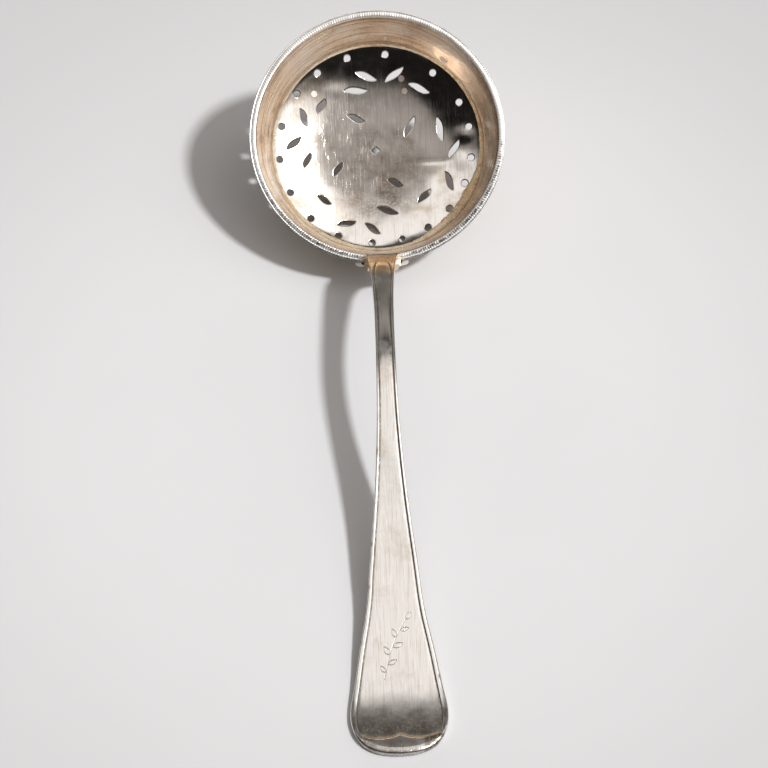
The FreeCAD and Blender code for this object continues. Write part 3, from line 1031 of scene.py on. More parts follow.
@dataclass
class SideBand:
    """The tapered wall of the bowl, gilt inside, with a rounded lip.

    The painted highlights on the gilding are given by turn, spread and strength.
    """

    wall: float = BAND_WALL
    foot: float = 13.75
    columns: int = 360
    inner_rows: int = 40
    outer_rows: int = 16
    lip_round: float = 0.2
    calm_height: float = 3.0
    highlight_turns: tuple[tuple[float, float, float], ...] = (
        (44.0, 17.0, 1.5), (-38.0, 17.0, 0.79), (8.0, 9.0, 0.3), (95.0, 32.0, 0.79), (187.0, 42.0, 0.79))
    highlight_height: float = -7.5
    dull_turn: float = 268.0
    dull_spread: float = 32.0

    def section(self) -> np.ndarray:
        """Outline of the wall as (radius, height), down the inside, under the foot and up the outside.

        Returns:
            One row for each point.
        """
        inner = [(band_inner_radius(z), z) for z in -np.linspace(self.lip_round, self.foot, self.inner_rows)]
        outer = [(band_inner_radius(z) + self.wall, z)
                 for z in -np.linspace(self.foot, self.lip_round, self.outer_rows)]
        lip = [(LIP_INNER + self.wall * (1 + math.cos(angle)) / 2, -self.lip_round * (1 - math.sin(angle)))
               for angle in np.linspace(0, math.pi, 7)[1:-1]]
        return np.array(inner + outer + lip)

    def build(self) -> Piece:
        """Turn the section about the bowl's axis, slightly out of true.

        Returns:
            The new piece.
        """
        turns = np.linspace(0, 2 * math.pi, self.columns, endpoint=False)
        wander = Ripple(seed=7, depth=0.045, length=11.0)
        radius, height = self.section().T
        calm = smooth_step(-height / self.calm_height) * smooth_step((self.foot + height) / self.calm_height)
        whole_turn = 2 * math.pi * RIM_RADIUS
        grid = np.zeros((len(turns), len(radius), 3))
        for i, turn in enumerate(turns):
            around = np.full_like(height, turn * RIM_RADIUS)
            blend = 0.5 - 0.5 * math.cos(turn)
            drift = wander.at(around, height) * blend
            drift += wander.at(around - whole_turn, height) * (1 - blend)
            moved = radius + drift * calm
            grid[i] = np.stack([moved * math.sin(turn), moved * math.cos(turn), height], 1)
        grime, wear, outside = self.shading(np.degrees(turns), radius, height)
        bench = MeshBench()
        bench.add_grid(grid, grime, wear, outside, wrap_rows=True, wrap_columns=True)
        return bench.make("bowl_wall", BOWL_PLACE)

    def shading(self, turned: np.ndarray, radius: np.ndarray, height: np.ndarray) -> tuple[np.ndarray, ...]:
        """Dirt with a painted shadow of the rim under the lip, painted highlights, and plain polish of the
        wall.

        Args:
            turned: the turns of the grid's rows, in degrees.
            radius: the section's radii.
            height: its heights.

        Returns:
            Three arrays, one row for each turn.
        """
        near_crease = bell(height + CREASE_DEPTH - 0.9, 0.8)
        near_lip = bell(height + 0.35, 0.35) + 0.3 * bell(height + 1.6, 1.2)
        dull = bell(turned - self.dull_turn, self.dull_spread)[:, None]
        # Dirt under the lip all round, with a painted shadow of the rim that is darkest towards the right.
        grime = 0.45 * near_crease + (0.45 + 0.5 * rim_shadow_at(turned)[:, None]) * near_lip + 0.16 * dull
        # Painted highlights: the gilding turns paler and smoother at a few turns, most at mid-height of the
        # wall.
        painted_highlight = sum(strength * bell((turned - middle + 180) % 360 - 180, spread)
                     for middle, spread, strength in self.highlight_turns)
        across = 0.45 + 0.55 * bell(height - self.highlight_height, 4.5)
        outside = smooth_step((radius - band_inner_radius(height)) / self.wall)
        wear = np.maximum(np.clip(painted_highlight[:, None] * across, 0, 1), 0.7 * outside)
        return grime, wear, np.broadcast_to(outside, grime.shape)

    def dress(self, piece: Piece) -> None:
        """Give the wall its finish and its place in the frame."""
        fit_piece(piece, WORN_GILDING.make(), "gilt_band", "side_band")


@dataclass
class MilledWire:
    """The milled band round the lip, cut with fine ribs, which stops at the handle's foot.

    The rows of its section give how far out and how high a point is, from the inner edge or the outer
    radius, and the share of the ribs' depth there. Its fresh places are given by turn and spread.
    """

    ribs: int = 300
    per_rib: int = 6
    rib_depth: float = 0.2
    rib_strengths: tuple[float, float] = (0.35, 1.0)
    inner_edge: float = LIP_INNER + 0.09
    inner_rows: tuple[tuple[float, float, float], ...] = (
        (0.0, -0.06, 0.0), (0.02, 0.05, 0.2), (0.12, 0.12, 0.6), (0.32, 0.17, 1.0), (0.60, 0.19, 1.0),
        (0.86, 0.17, 1.0), (1.04, 0.12, 0.8), (1.12, 0.06, 0.3), (1.18, 0.03, 0.2), (1.24, 0.07, 0.2))
    outer_rows: tuple[tuple[float, float, float], ...] = (
        (-0.17, 0.10, 0.5), (-0.06, 0.04, 0.8), (0.0, -0.16, 1.0), (0.0, -0.95, 1.0), (0.0, -1.60, 0.9),
        (-0.12, -1.84, 0.5), (-0.45, -WIRE_HEIGHT, 0.0), (-1.0, -WIRE_HEIGHT, 0.0), (-1.05, -0.4, 0.0))
    gap_turn: float = 8.6
    far_stretch: float = 0.16
    worn_strength: float = 0.2
    fresh_turns: tuple[tuple[float, float], ...] = ((138.0, 42.0), (216.0, 40.0))
    seam_shadow_shares: tuple[float, ...] = (1.0, 0.9, 0.35)
    columns_per_patch: int = 5
    patch_from: float = 0.36
    patch_edge: float = 0.12
    dirt_shares: tuple[float, ...] = (1, 1, 0.6, 0.5, 0.85, 1, 1, 1, 1, 1, 0.95, 0.85, 1, 1, 1, 1, 1, 1, 1)

    def section(self) -> tuple[np.ndarray, np.ndarray]:
        """Outline of the band as (radius, height), and how deep the ribs are cut at each point.

        Returns:
            The outline from the inner edge over the crowned top, a fine groove and an outer bead,
            and down the outer face, with the shares of the ribs' depth.
        """
        tables = ((self.inner_edge, self.inner_rows), (RIM_RADIUS, self.outer_rows))
        rows = np.array([(base + out, height, share)
                         for base, table in tables for out, height, share in table])
        return rows[:, :2], rows[:, 2]

    def build(self) -> Piece:
        """Sweep the section round the lip with its ribs.

        Returns:
            The new piece.
        """
        section, ribbed = self.section()
        count = self.ribs * self.per_rib + 1
        gap = math.radians(self.gap_turn)
        turns = np.linspace(math.pi + gap, 3 * math.pi - gap, count)
        turned = np.degrees(turns) % 360
        fresh = np.max([bell(turned - middle, spread) for middle, spread in self.fresh_turns], axis=0)
        draw = random.Random(29)
        cut = self.cuts(draw, count) * (self.worn_strength + (1 - self.worn_strength) * fresh)
        toward = unit_rows(np.array([RIM_RADIUS - WIRE_WIDTH * 0.8, -WIRE_HEIGHT * 0.5]) - section)
        stretch = self.far_stretch * np.clip(np.cos(turns), 0, 1) ** 2
        outer_share = np.clip((section[:, 0] - self.inner_edge) / 1.0, 0, 1)
        grid = np.zeros((count, len(section), 3))
        for i, turn in enumerate(turns):
            moved = section + toward * (cut[i] * self.rib_depth * ribbed)[:, None]
            radius = moved[:, 0] + stretch[i] * outer_share
            grid[i] = np.stack([radius * math.sin(turn), radius * math.cos(turn), moved[:, 1]], 1)
        patched = fresh[:, None] * (0.45 + 0.85 * self.patches(draw, count)) * self.dirt_shares
        grime = ribbed * np.clip((cut * (0.5 + 0.9 * fresh))[:, None] + patched, 0, 1)
        # The inner rows get dirt all round, with the painted shadow of the rim darkest towards the right.
        seam_dirt_and_shadow = 0.25 + 0.75 * rim_shadow_at(turned)
        grime[:, :len(self.seam_shadow_shares)] = np.multiply.outer(seam_dirt_and_shadow, self.seam_shadow_shares)
        bench = MeshBench()
        bench.add_grid(grid, grime, wrap_columns=True)
        bench.faces.append(tuple(range(len(section))))
        bench.faces.append(tuple(range((count - 1) * len(section), count * len(section)))[::-1])
        return bench.make("milled_lip", BOWL_PLACE, sharp=60.0)

    def cuts(self, draw: random.Random, count: int) -> np.ndarray:
        """How deep each column lies in its rib's cut, from 0 to 1, with some ribs cut fainter.

        Args:
            draw: the source of the random numbers.
            count: how many columns the band has.

        Returns:
            One depth for each column.
        """
        share = np.linspace(0, self.ribs, count)
        strength = np.array([draw.uniform(*self.rib_strengths) for _ in range(self.ribs + 1)])
        cut = (0.5 - 0.5 * np.cos(2 * math.pi * share)) ** 1.5 * strength[np.round(share).astype(int)]
        return cut * smooth_step(np.minimum(share, self.ribs - share) / 3.0)

    def patches(self, draw: random.Random, count: int) -> np.ndarray:
        """Small blotches of dirt, from 0 to 1, one row for each column of the band.

        Args:
            draw: the source of the random numbers.
            count: how many columns the band has.

        Returns:
            One row of tones for each column.
        """
        patch_count = count // self.columns_per_patch + 2
        tones = np.array([[draw.uniform(0.0, 1.0) for _ in self.dirt_shares] for _ in range(patch_count)])
        patch, rest = np.divmod(np.arange(count), self.columns_per_patch)
        blend = (rest / self.columns_per_patch)[:, None]
        mixed = tones[patch] * (1 - blend) + tones[patch + 1] * blend
        return smooth_step((mixed - self.patch_from) / self.patch_edge)

    def dress(self, piece: Piece) -> None:
        """Give the wire its finish and its place in the frame."""
        fit_piece(piece, MILLED_SILVER.make(), "milled_wire", "rim_wire")


@dataclass
class CreaseSolder:
    """The grainy run of solder along the crease between wall and dome.

    The heavy places are given by turn, spread and share.
    """

    leg: float = 0.7
    columns: int = 900
    even_leg: float = 0.62
    rough_leg: float = 0.16
    heavy_leg: float = 1.7
    heavy_rough_leg: float = 0.9
    heavy_turns: tuple[tuple[float, float, float], ...] = ((129.0, 34.0, 1.0), (195.0, 38.0, 0.38))
    wave_numbers: tuple[int, ...] = (3, 5, 8, 13, 21, 34, 55, 89, 144)
    grime_rows: tuple[float, ...] = (0.6, 0.05, 0.0, 0.0, 0.5, 0.5, 0.5)

    def build(self) -> Piece:
        """Lay the run round the crease, uneven and thicker on the right.

        Returns:
            The new piece.
        """
        draw = random.Random(3)
        turns = np.linspace(0, 2 * math.pi, self.columns, endpoint=False)
        terms = [(number, draw.uniform(0, 2 * math.pi), draw.uniform(0.3, 1.0) / number ** 0.35)
                 for number in self.wave_numbers]
        rough = sum(size * np.sin(number * turns + phase) for number, phase, size in terms) / 2.5
        turned = np.degrees(turns)
        heavy = np.max([share * bell(turned - middle, spread)
                        for middle, spread, share in self.heavy_turns], axis=0)
        legs = self.leg * (self.even_leg + self.rough_leg * rough
                           + heavy * (self.heavy_leg + self.heavy_rough_leg * rough))
        dome = PiercedDome()
        grid = np.zeros((self.columns, len(self.grime_rows), 3))
        for i, (turn, leg) in enumerate(zip(turns, legs)):
            radius, height = self.profile(leg, dome).T
            grid[i] = np.stack([radius * math.sin(turn), radius * math.cos(turn), height], 1)
        bench = MeshBench()
        grime = np.broadcast_to(np.array(self.grime_rows), grid.shape[:2])
        bench.add_grid(grid, grime, wrap_rows=True, wrap_columns=True)
        return bench.make("crease_run", BOWL_PLACE, sharp=80.0)

    def profile(self, leg: float, dome: PiercedDome) -> np.ndarray:
        """Section of the run as (radius, height), from its top on the wall to its toe on the dome.

        Args:
            leg: how far the run reaches up the wall.
            dome: the sheet that it lies on.

        Returns:
            One row for each point, and two behind the visible face.
        """
        inward = CREASE_RADIUS - leg * np.array([[0.75], [1.1]])
        floor = dome.level(np.column_stack([inward, np.zeros(2)]))
        return np.array([
            (band_inner_radius(leg - CREASE_DEPTH) + 0.02, leg - CREASE_DEPTH),
            (band_inner_radius(-CREASE_DEPTH + leg * 0.45) - leg * 0.16, -CREASE_DEPTH + leg * 0.42),
            (CREASE_RADIUS - leg * 0.36, -CREASE_DEPTH + leg * 0.16),
            (inward[0, 0], floor[0] + 0.12 * leg),
            (inward[1, 0], floor[1] - 0.03),
            (CREASE_RADIUS - SOLDER_GAP, -CREASE_DEPTH - 0.5),
            (CREASE_RADIUS, -CREASE_DEPTH - 0.3)])

    def dress(self, piece: Piece) -> None:
        """Give the run its finish and its place in the frame."""
        fit_piece(piece, GRAINY_SOLDER.make(), "old_solder", "dome_solder")


@dataclass
class Handle:
    """The arched handle: a steep foot, a slim neck, and a broad end with a threaded border.

    The side line and the stem's widths are shares of the reach from the lip, with shares of the rise and
    of the way from the neck's width to the end's. The border's profile rows give a share of its free
    width, a height and the dirt. The nicks are given by share of the length, side, depth and spread.
    """

    reach: float = 124.4
    arch_height: float = 20.0
    neck_rise: float = 3.6
    foot_drop: float = 4.2
    foot_thickness: float = 3.2
    foot_end_thickness: float = 2.1
    stem_thickness: float = 2.3
    tip_thickness: float = 1.4
    tip_flat: float = 9.0
    flare_width: float = 9.5
    neck_width: float = 4.4
    end_width: float = 20.6
    border_width: float = 1.4
    neck_border_width: float = 0.75
    end_border: float = 3.7
    edge_round: float = 0.42
    end_round: float = 1.45
    end_drop: float = 0.70
    end_profile: tuple[tuple[float, float], ...] = (
        (0.0, 1.0), (0.05, 0.75), (0.12, 0.55), (0.22, 0.40), (0.34, 0.29), (0.50, 0.19), (0.68, 0.10),
        (0.84, 0.035), (0.94, 0.008), (1.0, 0.0))
    groove_width: float = 0.26
    groove_rows: tuple[tuple[float, float, float], ...] = (
        (0.8, -0.02, 0.0), (0.5, -0.10, 0.5), (0.2, -0.19, 1.0), (0.0, -0.21, 1.0))
    thread_bulge: float = 0.05
    field_level: float = -0.21
    field_rise: float = 0.07
    crown: float = 0.26
    dish: float = 0.4
    dish_length: float = 12.0
    # How far the gold painted on the neck as a reflection of the bowl reaches, and how it fades.
    gold_reflection_length: float = 12.5
    gold_reflection_fade: float = 3.5
    upturn: float = 0.40
    upturn_length: float = 15.0
    neck_plan: tuple[tuple[float, float], ...] = ((1.5, 4.0), (3.4, 3.55), (8.0, 2.95), (12.9, 2.55))
    side_line_shares: tuple[tuple[float, float], ...] = (
        (0.043, 0.815), (0.092, 0.909), (0.156, 0.973), (0.236, 1.0), (0.317, 0.952), (0.397, 0.823),
        (0.478, 0.650), (0.558, 0.473), (0.638, 0.328), (0.719, 0.204), (0.799, 0.096), (0.870, 0.025))
    stem_width_shares: tuple[tuple[float, float], ...] = (
        (0.14, 0.02), (0.26, 0.0), (0.36, 0.02), (0.46, 0.09), (0.56, 0.22), (0.67, 0.40), (0.74, 0.52),
        (0.80, 0.70), (0.88, 0.91), (0.935, 1.0))
    end_shoulder_shares: tuple[float, float] = (0.982, 0.74)
    plan_points: int = 36
    panel_point_share: float = 0.035
    panel_full_share: float = 0.06
    brace_shares: tuple[tuple[float, float], ...] = ((0.80, 1.24), (0.48, 0.98), (0.0, 1.22))
    belly: float = 0.25
    belly_shown: float = 0.4
    underside_columns: int = 13
    nicks: tuple[tuple[float, int, float, float], ...] = (
        (0.47, -1, 0.10, 0.5), (0.63, -1, 0.12, 0.4), (0.705, -1, 0.10, 0.6), (0.80, -1, 0.08, 0.5),
        (0.55, 1, 0.08, 0.4), (0.86, 1, 0.08, 0.6))
    sprig_share: float = 0.80
    # How dark the broad end's field is painted, as shade.
    tip_shade: float = 0.88

    def __post_init__(self) -> None:
        """Work out the lines that the handle is drawn on."""
        self.lip_outer = LIP_INNER + BAND_WALL + SOLDER_GAP
        self.root = self.lying(self.lip_outer, 0.0)
        self.upper, self.lower = self.side_lines()
        self.length_at = length_along(self.upper)
        self.far = self.length_at[-1]
        self.foot_length = float(np.hypot(*(self.root - self.foot_corners()[0])))
        self.plan = self.plan_line()

    def lying(self, outward: float, height: float) -> np.ndarray:
        """Side-view place (y, z) of a point on the handle's side of the bowl.

        Args:
            outward: distance from the bowl's axis.
            height: height above the lip's plane.

        Returns:
            The place.
        """
        cosine, sine = math.cos(LYING_TILT), math.sin(LYING_TILT)
        return np.array([LIP_CENTRE[1] - outward * cosine - height * sine,
                         LIP_CENTRE[2] - outward * sine + height * cosine])

    def foot_corners(self) -> tuple[np.ndarray, np.ndarray]:
        """Lower ends of the foot's back and front, in side view.

        Returns:
            The back's place and the front's.
        """
        outward = band_inner_radius(-self.foot_drop) + BAND_WALL + SOLDER_GAP
        back = self.lying(outward, -self.foot_drop)
        front = self.lying(outward + self.foot_end_thickness, -self.foot_drop)
        return back, front

    def side_lines(self) -> tuple[np.ndarray, np.ndarray]:
        """Upper and lower lines of the handle from the lip to the tip, in side view.

        Returns:
            Two arrays of (y, z), matched row by row.
        """
        rise = self.arch_height - self.tip_thickness
        given = [self.root, self.lying(self.lip_outer, self.neck_rise)]
        for reach_share, rise_share in self.side_line_shares:
            given.append(np.array([self.root[0] - reach_share * self.reach,
                                   self.tip_thickness + rise_share * rise]))
        tip_y = self.root[0] - self.reach
        given.append(np.array([tip_y + self.tip_flat, self.tip_thickness]))
        upper = spline_through(given, 24)
        tangent = unit_rows(np.gradient(upper, axis=0))
        inward = np.stack([-tangent[:, 1], tangent[:, 0]], 1)
        share = (self.root[0] - upper[:, 0]) / self.reach
        thickness = self.stem_thickness + (self.tip_thickness - self.stem_thickness) * share
        drawn = upper + inward * thickness[:, None]
        front = self.lying(self.lip_outer + self.foot_thickness, 0.0)
        start = int(np.argmax(share > self.side_line_shares[0][0]))
        ease = np.linspace(0, 1, start)[:, None]
        straight = front + (drawn[start] - front) * ease
        bowed = drawn[:start] + (front - drawn[0]) * (1 - smooth_step(ease))
        straight_share = 0.5 * ease * (1 - ease)
        drawn[:start] = bowed * (1 - straight_share) + straight * straight_share
        flat = np.linspace(upper[-1], (tip_y, self.tip_thickness), 60)[1:]
        upper = np.concatenate([upper, flat])
        lower = np.concatenate([drawn[:-1], [(drawn[-1][0], 0.0)], flat - (0, self.tip_thickness)])
        lower[:, 1] = np.maximum(lower[:, 1], 0.0)
        return upper, lower

    def half_width(self, share: float) -> float:
        """Half width of the stem for a share of the way from neck to end."""
        return (self.neck_width + (self.end_width - self.neck_width) * share) / 2

    def plan_line(self) -> np.ndarray:
        """Right side of the handle from above, as (reach, half width), from the lip to the tip.

        Returns:
            One row for each point.
        """
        start = (0.0, self.flare_width / 2)
        flare = arc_through(start, *self.neck_plan[:2], 24)
        given = list(self.neck_plan[1:])
        given += [(reach * self.reach, self.half_width(width)) for reach, width in self.stem_width_shares]
        shoulder_reach, shoulder_share = self.end_shoulder_shares
        shoulder = (shoulder_reach * self.reach, self.end_width / 2 * shoulder_share)
        given += [shoulder, (self.reach, 0.0), (shoulder[0], -shoulder[1])]
        given += [(reach, -width) for reach, width in given[1:-3][::-1]]
        whole = spline_through(given, self.plan_points)
        runs = len(self.neck_plan) + len(self.stem_width_shares)
        return np.concatenate([flare[:-1], whole[:self.plan_points * runs + 1]])

    def along(self, reach: np.ndarray) -> np.ndarray:
        """Length along the upper line for a reach from the lip, seen from above."""
        return np.interp(reach, self.root[0] - self.upper[:, 0], self.length_at)

    def reach_at(self, along: np.ndarray) -> np.ndarray:
        """Reach from the lip, seen from above, for a length along the upper line."""
        return np.interp(along, self.length_at, self.root[0] - self.upper[:, 0])

    def thickness_at(self, along: np.ndarray) -> np.ndarray:
        """Thickness of the handle at a length from the lip, which is negative down the foot."""
        drawn = np.interp(along, self.length_at, np.linalg.norm(self.upper - self.lower, axis=1))
        return np.where(along < 0, self.foot_end_thickness, drawn)

    def at(self, along: np.ndarray, across: np.ndarray, depth: Amount = 0.0,
           lift: Amount = 0.0) -> np.ndarray:
        """Place in the row's frame.

        Args:
            along: length along the upper line from the lip, negative down the foot.
            across: distance from the middle, on the upper face.
            depth: how far down the handle's thickness, as a share.
            lift: how far above the drawn surface.

        Returns:
            One row of (x, y, z) for each.
        """
        depth = np.broadcast_to(np.asarray(depth, float), along.shape)
        down = np.clip(-along / self.foot_length, 0, 1)[:, None]
        main = np.clip(along, 0, None)
        upper, lower = (
            np.stack([np.interp(main, self.length_at, column) for column in line.T], 1) * (1 - down)
            + end * down for line, end in zip((self.upper, self.lower), self.foot_corners()))
        outline = np.concatenate([[(-20.0, self.flare_width / 2)], self.plan])
        wide, wide_below = (np.interp(self.root[0] - line[:, 0], *outline.T) for line in (upper, lower))
        out = across / np.maximum(wide, 0.5)
        near_top = 1 - np.clip(depth, 0, 1)
        fade = smooth_step(along / 4.0) * (1 - smooth_step((along - 22.0) / 26.0))
        domed = self.crown * fade * (1 - out ** 2) * near_top ** 2
        bent = np.clip((along - self.far + self.upturn_length) / self.upturn_length, 0, 1) ** 2
        dished = self.dish * (1 - smooth_step(along / self.dish_length)) * np.abs(out) ** 3
        raised = lift + np.maximum(domed, 0) + (self.upturn * bent + dished) * near_top
        side = upper + (lower - upper) * depth[:, None] + unit_rows(upper - lower) * raised[:, None]
        ratio = np.where(wide > 2.0, wide_below / np.maximum(wide, 0.5), 1.0)
        return np.column_stack([across * (1 + (ratio - 1) * depth), side])

    def outline(self) -> tuple[np.ndarray, np.ndarray]:
        """Right outline and the line inside it that the threaded border ends on, matched row by row.

        Returns:
            Two arrays of (length along, distance across).
        """
        foot = np.column_stack([np.linspace(-self.foot_length, 0, 10)[:-1], np.full(9, self.flare_width / 2)])
        outer = np.concatenate([foot, np.column_stack([self.along(self.plan[:, 0]), self.plan[:, 1]])])
        given = [(self.panel_point_share * self.reach, 0.0),
                 (self.panel_full_share * self.reach, self.neck_width / 2 - self.neck_border_width)]
        for reach, width in self.stem_width_shares:
            border = self.neck_border_width + (self.border_width - self.neck_border_width) * width
            given.append((reach * self.reach, self.half_width(width) - border))
        corner, dip, peak = [(self.reach - self.end_border * up, self.end_width / 2 * across)
                             for across, up in self.brace_shares]
        side = spline_through(given + [corner], 24)
        side[:, 1] = np.maximum(side[:, 1], 0.0)
        brace = arc_through(corner, dip, peak, 60)
        inner = np.zeros_like(outer)
        reach_of = np.where(outer[:, 0] < 0, outer[:, 0], self.reach_at(outer[:, 0]))
        first_end = int(np.argmax(reach_of > corner[0]))
        inner[:first_end, 0] = outer[:first_end, 0]
        inner[:first_end, 1] = np.interp(reach_of[:first_end], side[:, 0], side[:, 1], left=0.0)
        walked = length_along(outer[first_end - 1:])
        walked /= walked[-1]
        brace_walked = np.linspace(0, 1, len(brace))
        for k, values in enumerate((self.along(brace[:, 0]), brace[:, 1])):
            inner[first_end:, k] = np.interp(walked[1:], brace_walked, values)
        return outer, inner

    def build(self) -> Piece:
        """Make the whole handle: border strips, sunk field, rounded sides and underside.

        Returns:
            The new piece.
        """
        outer, inner = self.outline()
        bench = MeshBench()
        normal = np.gradient(outer, axis=0)
        normal = unit_rows(np.stack([-normal[:, 1], normal[:, 0]], 1))
        toward = inner - outer
        width = np.linalg.norm(toward, axis=1)
        normal *= np.sign((normal * toward).sum(1))[:, None]
        normal[-1] = (-1.0, 0.0)
        ending = smooth_step((self.reach_at(outer[:, 0]) / self.reach - 0.965) / 0.025)
        inset = self.edge_round + (self.end_round - self.edge_round) * ending
        inset = np.minimum(inset, width * (0.35 + 0.25 * ending))
        drop = np.minimum(self.edge_round + (self.end_drop - self.edge_round) * ending, inset)
        size = np.stack([inset, drop, ending])
        nick = self.nick_depth(outer[:, 0])
        for sign in (-1, 1):
            self.add_rows(bench, self.top_rows(outer, inner, normal, size, nick[sign]), sign)
        self.add_underside(bench, outer, normal, size)
        self.add_field(bench, inner)
        return bench.make("handle_body", sharp=50.0, weld=0.004)

    def nick_depth(self, along: np.ndarray) -> dict[int, np.ndarray]:
        """How deep the knocks are in each edge, by side.

        Args:
            along: lengths from the lip, along the outline.

        Returns:
            One array of depths for each side, -1 or 1.
        """
        depths = {-1: np.zeros(len(along)), 1: np.zeros(len(along))}
        for share, side, depth, spread in self.nicks:
            depths[side] += depth * bell(along - share * self.far, spread)
        return depths

    def top_rows(self, outer: np.ndarray, inner: np.ndarray, normal: np.ndarray, size: np.ndarray,
                 nick: np.ndarray) -> list[tuple[np.ndarray, Amount, np.ndarray, Amount]]:
        """Rows of the border's surface from the lower side edge up and in to the field.

        Args:
            outer: the right outline.
            inner: the line that the border ends on.
            normal: the way in from the outline.
            size: the rounding's inset and drop, and how far the end's own form is reached.
            nick: how deep the knocks in this edge are.

        Returns:
            Tuples of place along and across, depth share, lift and dirt.
        """
        rows = []
        thickness = self.thickness_at(outer[:, 0])
        shown = self.shown_at(inner[:, 0])
        round_to, drop_to, ending = size
        for angle, (end_inset, end_drop) in zip(np.linspace(90, 0, len(self.end_profile)), self.end_profile):
            lean = math.radians(angle)
            inset = round_to * ((1 - math.sin(lean)) * (1 - ending) + end_inset * ending)
            drop = drop_to * ((1 - math.cos(lean)) * (1 - ending) + end_drop * ending)
            place = outer + normal * (inset + nick * math.sin(lean))[:, None]
            rows.append((place, drop / thickness, -nick * 0.4, 0.0))
        inset_place = outer + normal * round_to[:, None]
        rest = inner - inset_place
        room = np.linalg.norm(rest, axis=1)
        step = np.minimum(self.groove_width, room * 0.5)
        for share in (0.25, 0.5, 0.75, 1.0):
            part = (room - step) * share / np.maximum(room, TINY)
            wide_enough = np.clip(2.0 / np.maximum(room, 0.1) - 0.6, 0, 1)
            bulge = self.thread_bulge * math.sin(math.pi * share) * wide_enough
            rows.append((inset_place + rest * part[:, None], 0.0, bulge * shown, 0.0))
        for share, drop, dirt in self.groove_rows:
            part = 1 - step * share / np.maximum(room, TINY)
            rows.append((inset_place + rest * part[:, None], 0.0, drop * shown, dirt * shown))
        return rows

    def add_rows(self, bench: MeshBench, rows: list[tuple], sign: int) -> None:
        """Add the border of one side to the bench.

        Args:
            bench: where the handle is gathered.
            rows: the border's rows, as top_rows gives them.
            sign: 1 for the right side, -1 for the left.
        """
        grid, grime, wear = [], [], []
        strength = 1.0 if sign > 0 else 0.7
        for place, depth, lift, dirt in rows:
            along, across = place.T
            grid.append(self.at(along, across * sign, depth, lift))
            # The border darkens over the last few millimetres, most at the right corner: painted shade of the
            # broad end.
            corner = np.maximum(0.42, strength * smooth_step((across - 3.4) / 2.4))
            corner = corner * smooth_step((along - self.far + 6.0) / 2.0)
            grime.append(np.maximum(dirt, corner))
            # The wear mark carries the neck's painted gold reflection, and the warm glint painted in the
            # groove at the broad end.
            wear.append(np.maximum(self.gold_reflection_at(along), self.warm_glint_at(along) * (np.asarray(dirt) > 0)))
        bench.add_grid(np.array(grid), np.array(grime), np.array(wear))

    def gold_reflection_at(self, along: np.ndarray) -> np.ndarray:
        """How strongly gold is painted on the neck at a length from the lip, a painted reflection of the
        gilded bowl.
        """
        return 1 - smooth_step((along - self.gold_reflection_length) / self.gold_reflection_fade)

    def warm_glint_at(self, along: np.ndarray) -> np.ndarray:
        """How strong the warm glint painted in the border's groove is, which only shows at the broad end."""
        return 0.95 * smooth_step((along - self.far + 5.4) / 0.9)

    def shown_at(self, along: np.ndarray) -> np.ndarray:
        """How deep the border's groove is at a length from the lip, as a share: it fades at both ends."""
        ending = smooth_step((along - self.far + 8.0) / 2.5)
        return smooth_step((along / self.far - 0.055) / 0.05) * (1 - 0.6 * ending)

    def add_underside(self, bench: MeshBench, outer: np.ndarray, normal: np.ndarray,
                      size: np.ndarray) -> None:
        """Add the sides, the rounded lower edges and the bellied underside, and close the foot.

        Args:
            bench: where the handle is gathered.
            outer: the right outline.
            normal: the way in from it.
            size: the upper rounding's inset and drop, and how far the end's own form is reached.
        """
        along, across = outer.T
        thickness = self.thickness_at(along)
        round_to = np.minimum(np.minimum(size[0], self.edge_round), thickness * 0.4)
        for sign in (-1, 1):
            rows = [self.at(along, across * sign, size[1] / thickness)]
            for lean in np.radians(np.linspace(0, 90, 6)):
                place = outer + normal * (round_to * (1 - math.cos(lean)))[:, None]
                depth = 1 - round_to * (1 - math.sin(lean)) / thickness
                rows.append(self.at(place[:, 0], place[:, 1] * sign, depth))
            # The sides carry a little dirt that darkens towards the broad end as a painted shadow, and the
            # neck's painted gold reflection.
            shade, gilt = (np.broadcast_to(row, (len(rows), len(outer)))
                           for row in (0.1 + 0.6 * size[2], self.gold_reflection_at(along)))
            bench.add_grid(np.array(rows), shade, gilt)
        side = outer + normal * round_to[:, None]
        shown = smooth_step((self.far - 14 - along) / 20.0) * self.belly_shown
        shares = np.linspace(-1, 1, self.underside_columns)
        bellied = [self.at(side[:, 0], side[:, 1] * share, 1.0, -(1 - abs(share) ** 2.2) * self.belly * shown)
                   for share in shares]
        bench.add_grid(np.array(bellied), 0.15)
        down = np.linspace(0, 1, 7)
        cap = [self.at(np.full(7, along[0]), np.full(7, across[0] * share), down) for share in shares]
        bench.add_grid(np.array(cap), 0.3)

    def add_field(self, bench: MeshBench, inner: np.ndarray) -> None:
        """Add the sunk field inside the border, with its engraved sprig.

        Args:
            bench: where the handle is gathered.
            inner: the line that the border ends on.
        """
        first = int(np.argmax(inner[:, 1] > 0)) - 1
        right = inner[first:]
        ring = np.concatenate([right, (right * (1, -1))[1:-1][::-1]])
        drawn = np.concatenate(Sprig(self.along(np.array([self.sprig_share * self.reach]))[0]).lines())
        found, triangles, _ = triangulate(self.field_points(ring, drawn), [len(ring)])
        keep = inside(found[triangles].mean(1), ring)
        along, across = found.T
        gap = distance_to(found, ring)
        cut = 1 - smooth_step(distance_to(found, drawn) / Sprig.cut_half_width)
        shown = self.shown_at(along)
        wander = Ripple(seed=19, depth=0.018, length=16.0)
        level = self.field_level + self.field_rise * smooth_step(gap / 0.5)
        level = level + wander.at(along, across * 2) * smooth_step(gap / 2.0)
